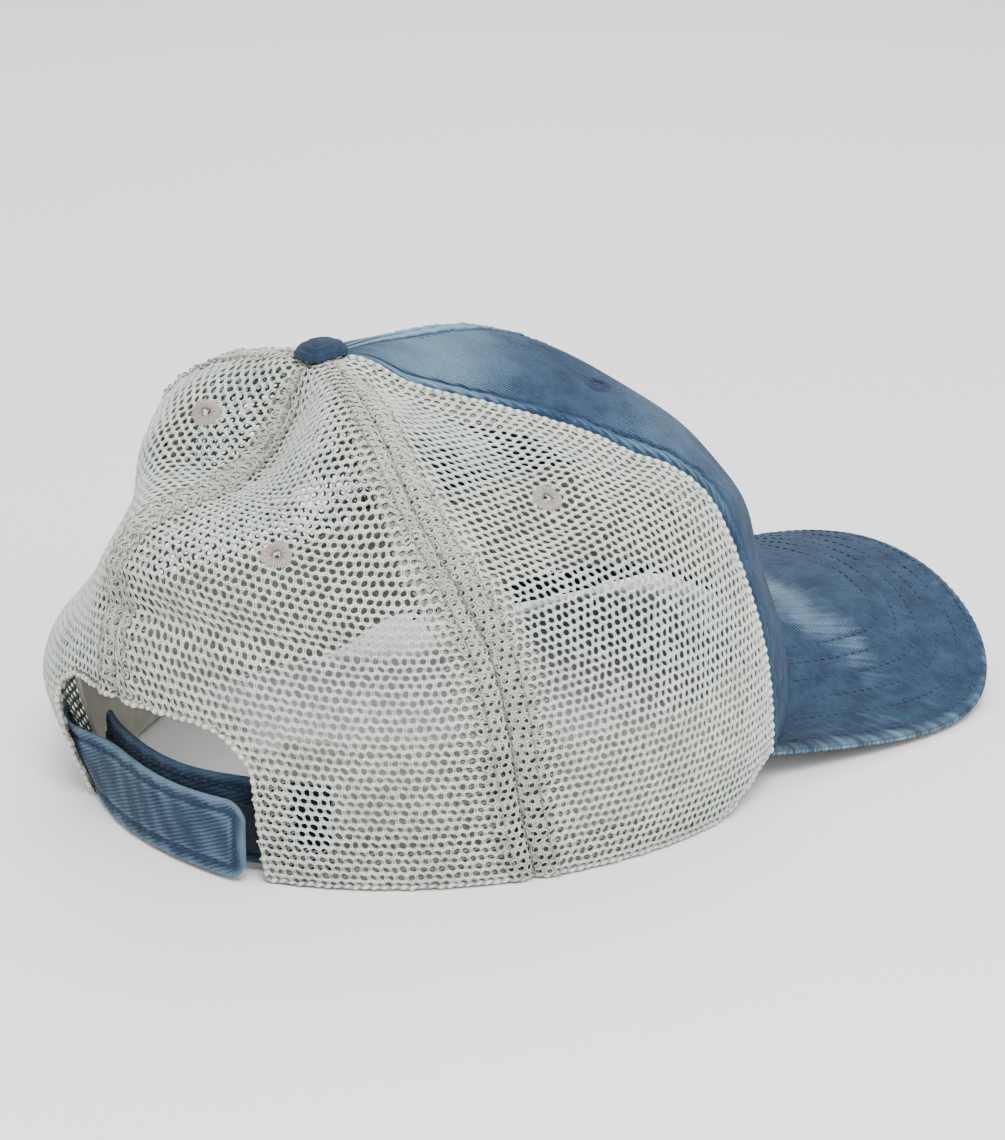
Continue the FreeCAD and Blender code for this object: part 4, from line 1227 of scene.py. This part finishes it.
def strap_sheet(name, start, end, outer, low, tall, tip_at_end, loose, cloth):
    """A folded and stitched strap with round corners at its tip.  Its edges are rolled: the
    half-thickness falls from 0.7 mm to nothing as a quarter circle, over a swelling, and a
    stitched valley runs 3 mm in."""
    corner = STRAP_CORNER
    steps, levels = 220, 45
    reach = math.degrees(corner / STRAP_OUTER)
    bend = (1 - np.cos(np.linspace(0, math.pi / 2, 26))) * reach
    if tip_at_end:
        turn = np.concatenate([np.linspace(start, end - reach, steps)[:-1], end - bend[::-1]])
        away = end - turn
    else:
        turn = np.concatenate([start + bend, np.linspace(start + reach, end, steps)[1:]])
        away = turn - start
    away = np.radians(away)[:, None] * STRAP_OUTER
    share = np.concatenate([[0, 0.004, 0.015, 0.03], np.linspace(0.05, 0.95, levels - 8),
                            [0.97, 0.985, 0.996, 1]])[None]
    turn = turn[:, None]
    inset = corner - np.sqrt(np.clip(corner ** 2 - np.clip(corner - away, 0, None) ** 2, 0, None))
    height = low + inset + (tall - 2 * inset) * share
    edge = np.minimum(np.minimum(height - low - inset, low + tall - inset - height), away)
    half = STRAP_THICK / 2
    rolled = half * np.sqrt(np.clip(1 - np.clip(1 - edge / half, 0, 1) ** 2, 0.0004, 1))
    mm = np.radians(turn) * STRAP_OUTER
    valley = -0.30 * bead(edge, 3.2, 0.7)
    swell = 0.16 * bead(edge, 1.3, 0.9)
    wave = 0.14 * np.sin(mm * 0.62 + height * 0.35) * np.sin(height * 0.21 + 1)
    pucker = 0.11 * np.sin(mm * 2.1) * bead(edge, 2.4, 1.8)
    relief = (valley + swell + wave + pucker) * smooth(edge, 0.2, 1.0)
    sag = 0.5 * np.sin(mm * 0.11 + 0.6) * smooth(height, low, low + tall)
    wide = turn + 0 * height
    front = strap_place(wide, outer - half + rolled + relief, height - sag, loose)
    back = strap_place(wide, outer - half - rolled + 0.3 * relief, height - sag, loose)
    piece = sheet_solid(name, front, back, cloth)
    bands = np.sin((mm * 0.78 + height * 0.62) * 0.85 + 1.6 * np.sin(mm * 0.12))
    bands = bands + 0.5 * np.sin(mm * 0.31)
    worn = (1.1 * bead(edge, 0, 1.3) + 0.35 * bead(edge, 4.4, 0.7) - 0.6 * bead(edge, 3.1, 0.6)
            + 0.20 * bands)
    set_wear(piece, np.concatenate([worn.ravel(), worn.ravel()]))
    return piece


def strap_rows(start, end, outer, low, tall, loose, tip=False):
    """Rows of stitches along both long edges, from start to end, and across the tip at end."""
    gap = 3.1
    way = math.copysign(1.0, end - start)
    short = math.degrees(STRAP_CORNER / STRAP_OUTER) if tip else 0.0
    lines = [(np.linspace(start, end - way * short, 160), level)
             for level in (low + gap, low + tall - gap)]
    if tip:
        level = np.linspace(low + gap, low + tall - gap, 80)
        near = np.clip(3.0 - np.minimum(level - low - gap, low + tall - gap - level), 0, None)
        bow = gap + 3.0 - np.sqrt(np.clip(9.0 - near ** 2, 0, None))
        lines.append((end - way * np.degrees(bow / STRAP_OUTER), level))
    rows = []
    for turn, level in lines:
        path = strap_place(turn, outer, level + 0 * turn, loose)
        rows.append((path, path - strap_place(turn, outer - 1.0, level + 0 * turn, loose)))
    return rows


def build_straps():
    """The outer strap, one cloth that bends at the peel line, and the strap under it."""
    piece = strap_sheet("strap_outer_twill", STRAP_ROOT_END, STRAP_TIP, 0.0, STRAP_LOW,
                        STRAP_HEIGHT, True, True, STRAP_DENIM)
    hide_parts("strap_root", "strap_tail")
    near = strap_place(np.array([PEEL_LINE - 4.5, PEEL_LINE + 4.5]), 0.0, 10.6) * MM
    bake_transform(piece)

    rows = strap_rows(STRAP_ROOT_END + 0.5, PEEL_LINE - 5.0, -STITCH_SINK, STRAP_LOW,
                      STRAP_HEIGHT, True)
    stitch_piece("strap_root_stitches", rows, DARK_THREAD, "strap", "cloth_thread", pitch=2.5,
                 length=2.0, width=0.26)
    rows = strap_rows(PEEL_LINE + 5.0, STRAP_TIP, -STITCH_SINK, STRAP_LOW, STRAP_HEIGHT, True,
                      tip=True)
    stitch_piece("strap_tail_stitches", rows, DARK_THREAD, "tail", "cloth_thread", pitch=2.5,
                 length=2.0, width=0.26)

    piece = strap_sheet("strap_under_twill", UNDER_STRAP_TIP, UNDER_STRAP_END, UNDER_OUTER,
                        UNDER_STRAP_LOW, UNDER_STRAP_HEIGHT, False, False, UNDER_DENIM)
    finish_piece(piece, "crown", "cloth", "under_strap")
    rows = strap_rows(UNDER_STRAP_END, UNDER_STRAP_TIP, UNDER_OUTER - 0.25, UNDER_STRAP_LOW,
                      UNDER_STRAP_HEIGHT, False, tip=True)
    stitch_piece("strap_under_stitches", rows, DARK_THREAD, "crown", "cloth_thread", pitch=2.5,
                 length=2.0, width=0.26)


# ---- sweatband ------------------------------------------------------------------------------
def band_place(angle, above, depth):
    """A place depth mm behind the sweatband's outer face: inside the crown at the front and
    sides, and going over to an upright ellipse towards the back."""
    height = hem_height_fast(angle) + above
    away = from_front(angle)
    left = np.asarray(angle) % 360 > 180
    room = np.where(left, 3.1 * smooth(away, 104, 122), 0.0)
    near = crown(angle, rise_at(angle, height),
                 BAND_INSET + 1.2 * smooth(away, 120, 140) + room + depth)
    inset = BAND_REAR_INSET + depth
    turn = np.radians(angle)
    rear = np.stack([-(HALF_WIDTH - inset) * np.sin(turn), -(HALF_LENGTH - inset) * np.cos(turn),
                     height], -1)
    return near + (rear - near) * (smooth(away, 95.0, 130.0) * np.where(left, 0.12, 1.0))[..., None]


def build_sweatband():
    """The band's section is a flat strip with rolled edges, and small tucks shorten it here
    and there.  The lining strip lies behind it."""
    reach = 180.0 - math.degrees(math.asin(ARCH_HALF_WIDTH / HALF_WIDTH)) - 1.0
    angle = np.linspace(-reach, reach, 381)[:, None]
    share = np.concatenate([[0, 0.01, 0.025], np.linspace(0.05, 0.95, 24), [0.975, 0.99, 1]])[None]
    above = BAND_LIFT + BAND_HEIGHT * share + 0 * angle
    edge = np.minimum(above - BAND_LIFT, BAND_LIFT + BAND_HEIGHT - above)
    half = BAND_THICK / 2
    thick = half * np.sqrt(np.clip(1 - np.clip(1 - edge / half, 0, 1) ** 2, 0.001, 1))
    tuck = 0.22 * np.sin(angle * 0.9 + np.sin(angle * 0.13) * 3) * np.sin(above * 0.18)
    ridge = 0.2 * bead(edge, 2.4, 0.6)
    wide = angle + 0 * above
    outer = band_place(wide, above, half - thick + 0.3 * tuck + ridge * 0.5)
    inner = band_place(wide, above, half + thick + 0.3 * tuck - ridge * 0.5)
    piece = sheet_solid("sweatband_twill_strip", outer, inner, BAND)
    worn = 0.5 * bead(edge, 0, 0.8) - 0.4 * bead(edge, 2.4, 0.5)
    set_wear(piece, np.concatenate([worn.ravel(), worn.ravel()]))
    finish_piece(piece, "crown", "sweatband", "sweatband")
    rows = []
    line = np.linspace(-reach + 0.5, reach - 0.5, 700)
    for above, depth, side in ((BAND_HEIGHT - 1.8, 0.05, 1), (BAND_HEIGHT - 1.8, 0.85, -1),
                               (BAND_LIFT + 2.4, 0.85, -1)):
        path = band_place(line, above, depth)
        out = band_place(line, above, 0.0) - band_place(line, above, 1.0)
        rows.append((path, out * side))
    stitch_piece("sweatband_stitches", rows, EDGE_YARN, "crown", "sweatband", pitch=2.8,
                 length=2.2, width=0.2)
    angle = np.linspace(-96.0, 96.0, 240)[:, None]
    above = np.linspace(BAND_LIFT + 2.0, BAND_LIFT + BAND_HEIGHT - 3.0, 18)[None]
    wide = angle + 0 * above
    tall = above + 0 * angle
    outer = band_place(wide, tall, 1.25)
    inner = band_place(wide, tall, 1.7)
    piece = sheet_solid("sweatband_lining_strip", outer, inner, BAND)
    finish_piece(piece, "crown", "sweatband", "sweatband_lining")


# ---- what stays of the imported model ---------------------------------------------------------
def finish_nodes():
    """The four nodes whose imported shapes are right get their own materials."""
    kept = {"button_shell": METAL, "button_prong": METAL, "hook_patch": PILE, "loop_patch": PILE}
    for name, material in kept.items():
        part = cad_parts[name]
        part.data.materials.clear()
        part.data.materials.append(material)


# ---- set ------------------------------------------------------------------------------------
CAMERA_AZIMUTH = 229.7
CAMERA_HEIGHT = 18.5
CAMERA_DISTANCE = 880.0
CAMERA_TARGET = np.array([0.0, 0.0, 50.0])
CAMERA_SHIFT = (0.0518, 0.0057)
LENS = 105.8
FLOOR_HALF = 1.6
FLOOR_LEVEL = -0.0005

# lamps: name, place in metres, width, power
LAMPS = (
    ("key_light", (-0.75, 0.55, 1.15), 0.7, 26.0),
    ("fill_light", (-1.3, -0.1, 0.7), 1.2, 9.0),
    ("rim_light", (0.8, -0.8, 1.2), 1.0, 12.0),
)


def build_camera():
    """A long lens that looks at the target from its azimuth and height."""
    turn, lift = math.radians(CAMERA_AZIMUTH), math.radians(CAMERA_HEIGHT)
    back = np.array([math.sin(turn) * math.cos(lift), -math.cos(turn) * math.cos(lift),
                     math.sin(lift)])
    camera = bpy.data.objects.new("camera", bpy.data.cameras.new("camera"))
    camera.data.lens = LENS
    camera.data.sensor_width = 36.0
    camera.data.shift_x, camera.data.shift_y = CAMERA_SHIFT
    camera.data.clip_start = 0.05
    camera.location = (CAMERA_TARGET + back * CAMERA_DISTANCE) * MM
    camera.rotation_euler = (math.pi / 2 - lift, 0, turn)
    bpy.context.scene.collection.objects.link(camera)
    bpy.context.scene.camera = camera


def build_floor():
    """A pale square just under the hem."""
    corners = [(x * FLOOR_HALF, y * FLOOR_HALF, FLOOR_LEVEL)
               for x, y in ((-1, -1), (1, -1), (1, 1), (-1, 1))]
    plane = bpy.data.meshes.new("floor")
    plane.from_pydata(corners, [], [(0, 1, 2, 3)])
    floor = bpy.data.objects.new("floor", plane)
    material, tree, shader = start_material("pale_floor")
    place = node(tree, "ShaderNodeTexCoord").outputs["Object"]
    soft = noise(tree, place, 3.0)
    link(tree, blend_colours(tree, soft, (0.90, 0.90, 0.90), (0.93, 0.93, 0.93)),
         shader.inputs["Base Color"])
    shader.inputs["Roughness"].default_value = 0.9
    plane.materials.append(material)
    bpy.context.scene.collection.objects.link(floor)


def build_lights():
    """A white surround and three round lamps turned to the cap."""
    world = bpy.data.worlds.new("studio")
    world.use_nodes = True
    world.node_tree.nodes["Background"].inputs["Color"].default_value = (1.0, 1.0, 1.0, 1.0)
    world.node_tree.nodes["Background"].inputs["Strength"].default_value = 1.0
    bpy.context.scene.world = world
    for name, place, size, power in LAMPS:
        lamp = bpy.data.lights.new(name, "AREA")
        lamp.shape = "DISK"
        lamp.size = size
        lamp.energy = power
        light = bpy.data.objects.new(name, lamp)
        light.location = place
        aim = np.array([0, 0, 0.05]) - np.array(place)
        flat = math.hypot(aim[0], aim[1])
        light.rotation_euler = (math.atan2(flat, -aim[2]), 0,
                                math.atan2(aim[1], aim[0]) - math.pi / 2)
        bpy.context.scene.collection.objects.link(light)


build_mesh_panels()
build_tapes()
build_edges()
build_seam_lines()
build_front_panels()
build_knit_beads()
build_eyelets()
build_button()
build_peak()
build_straps()
build_sweatband()
finish_nodes()
build_camera()
build_floor()
build_lights()
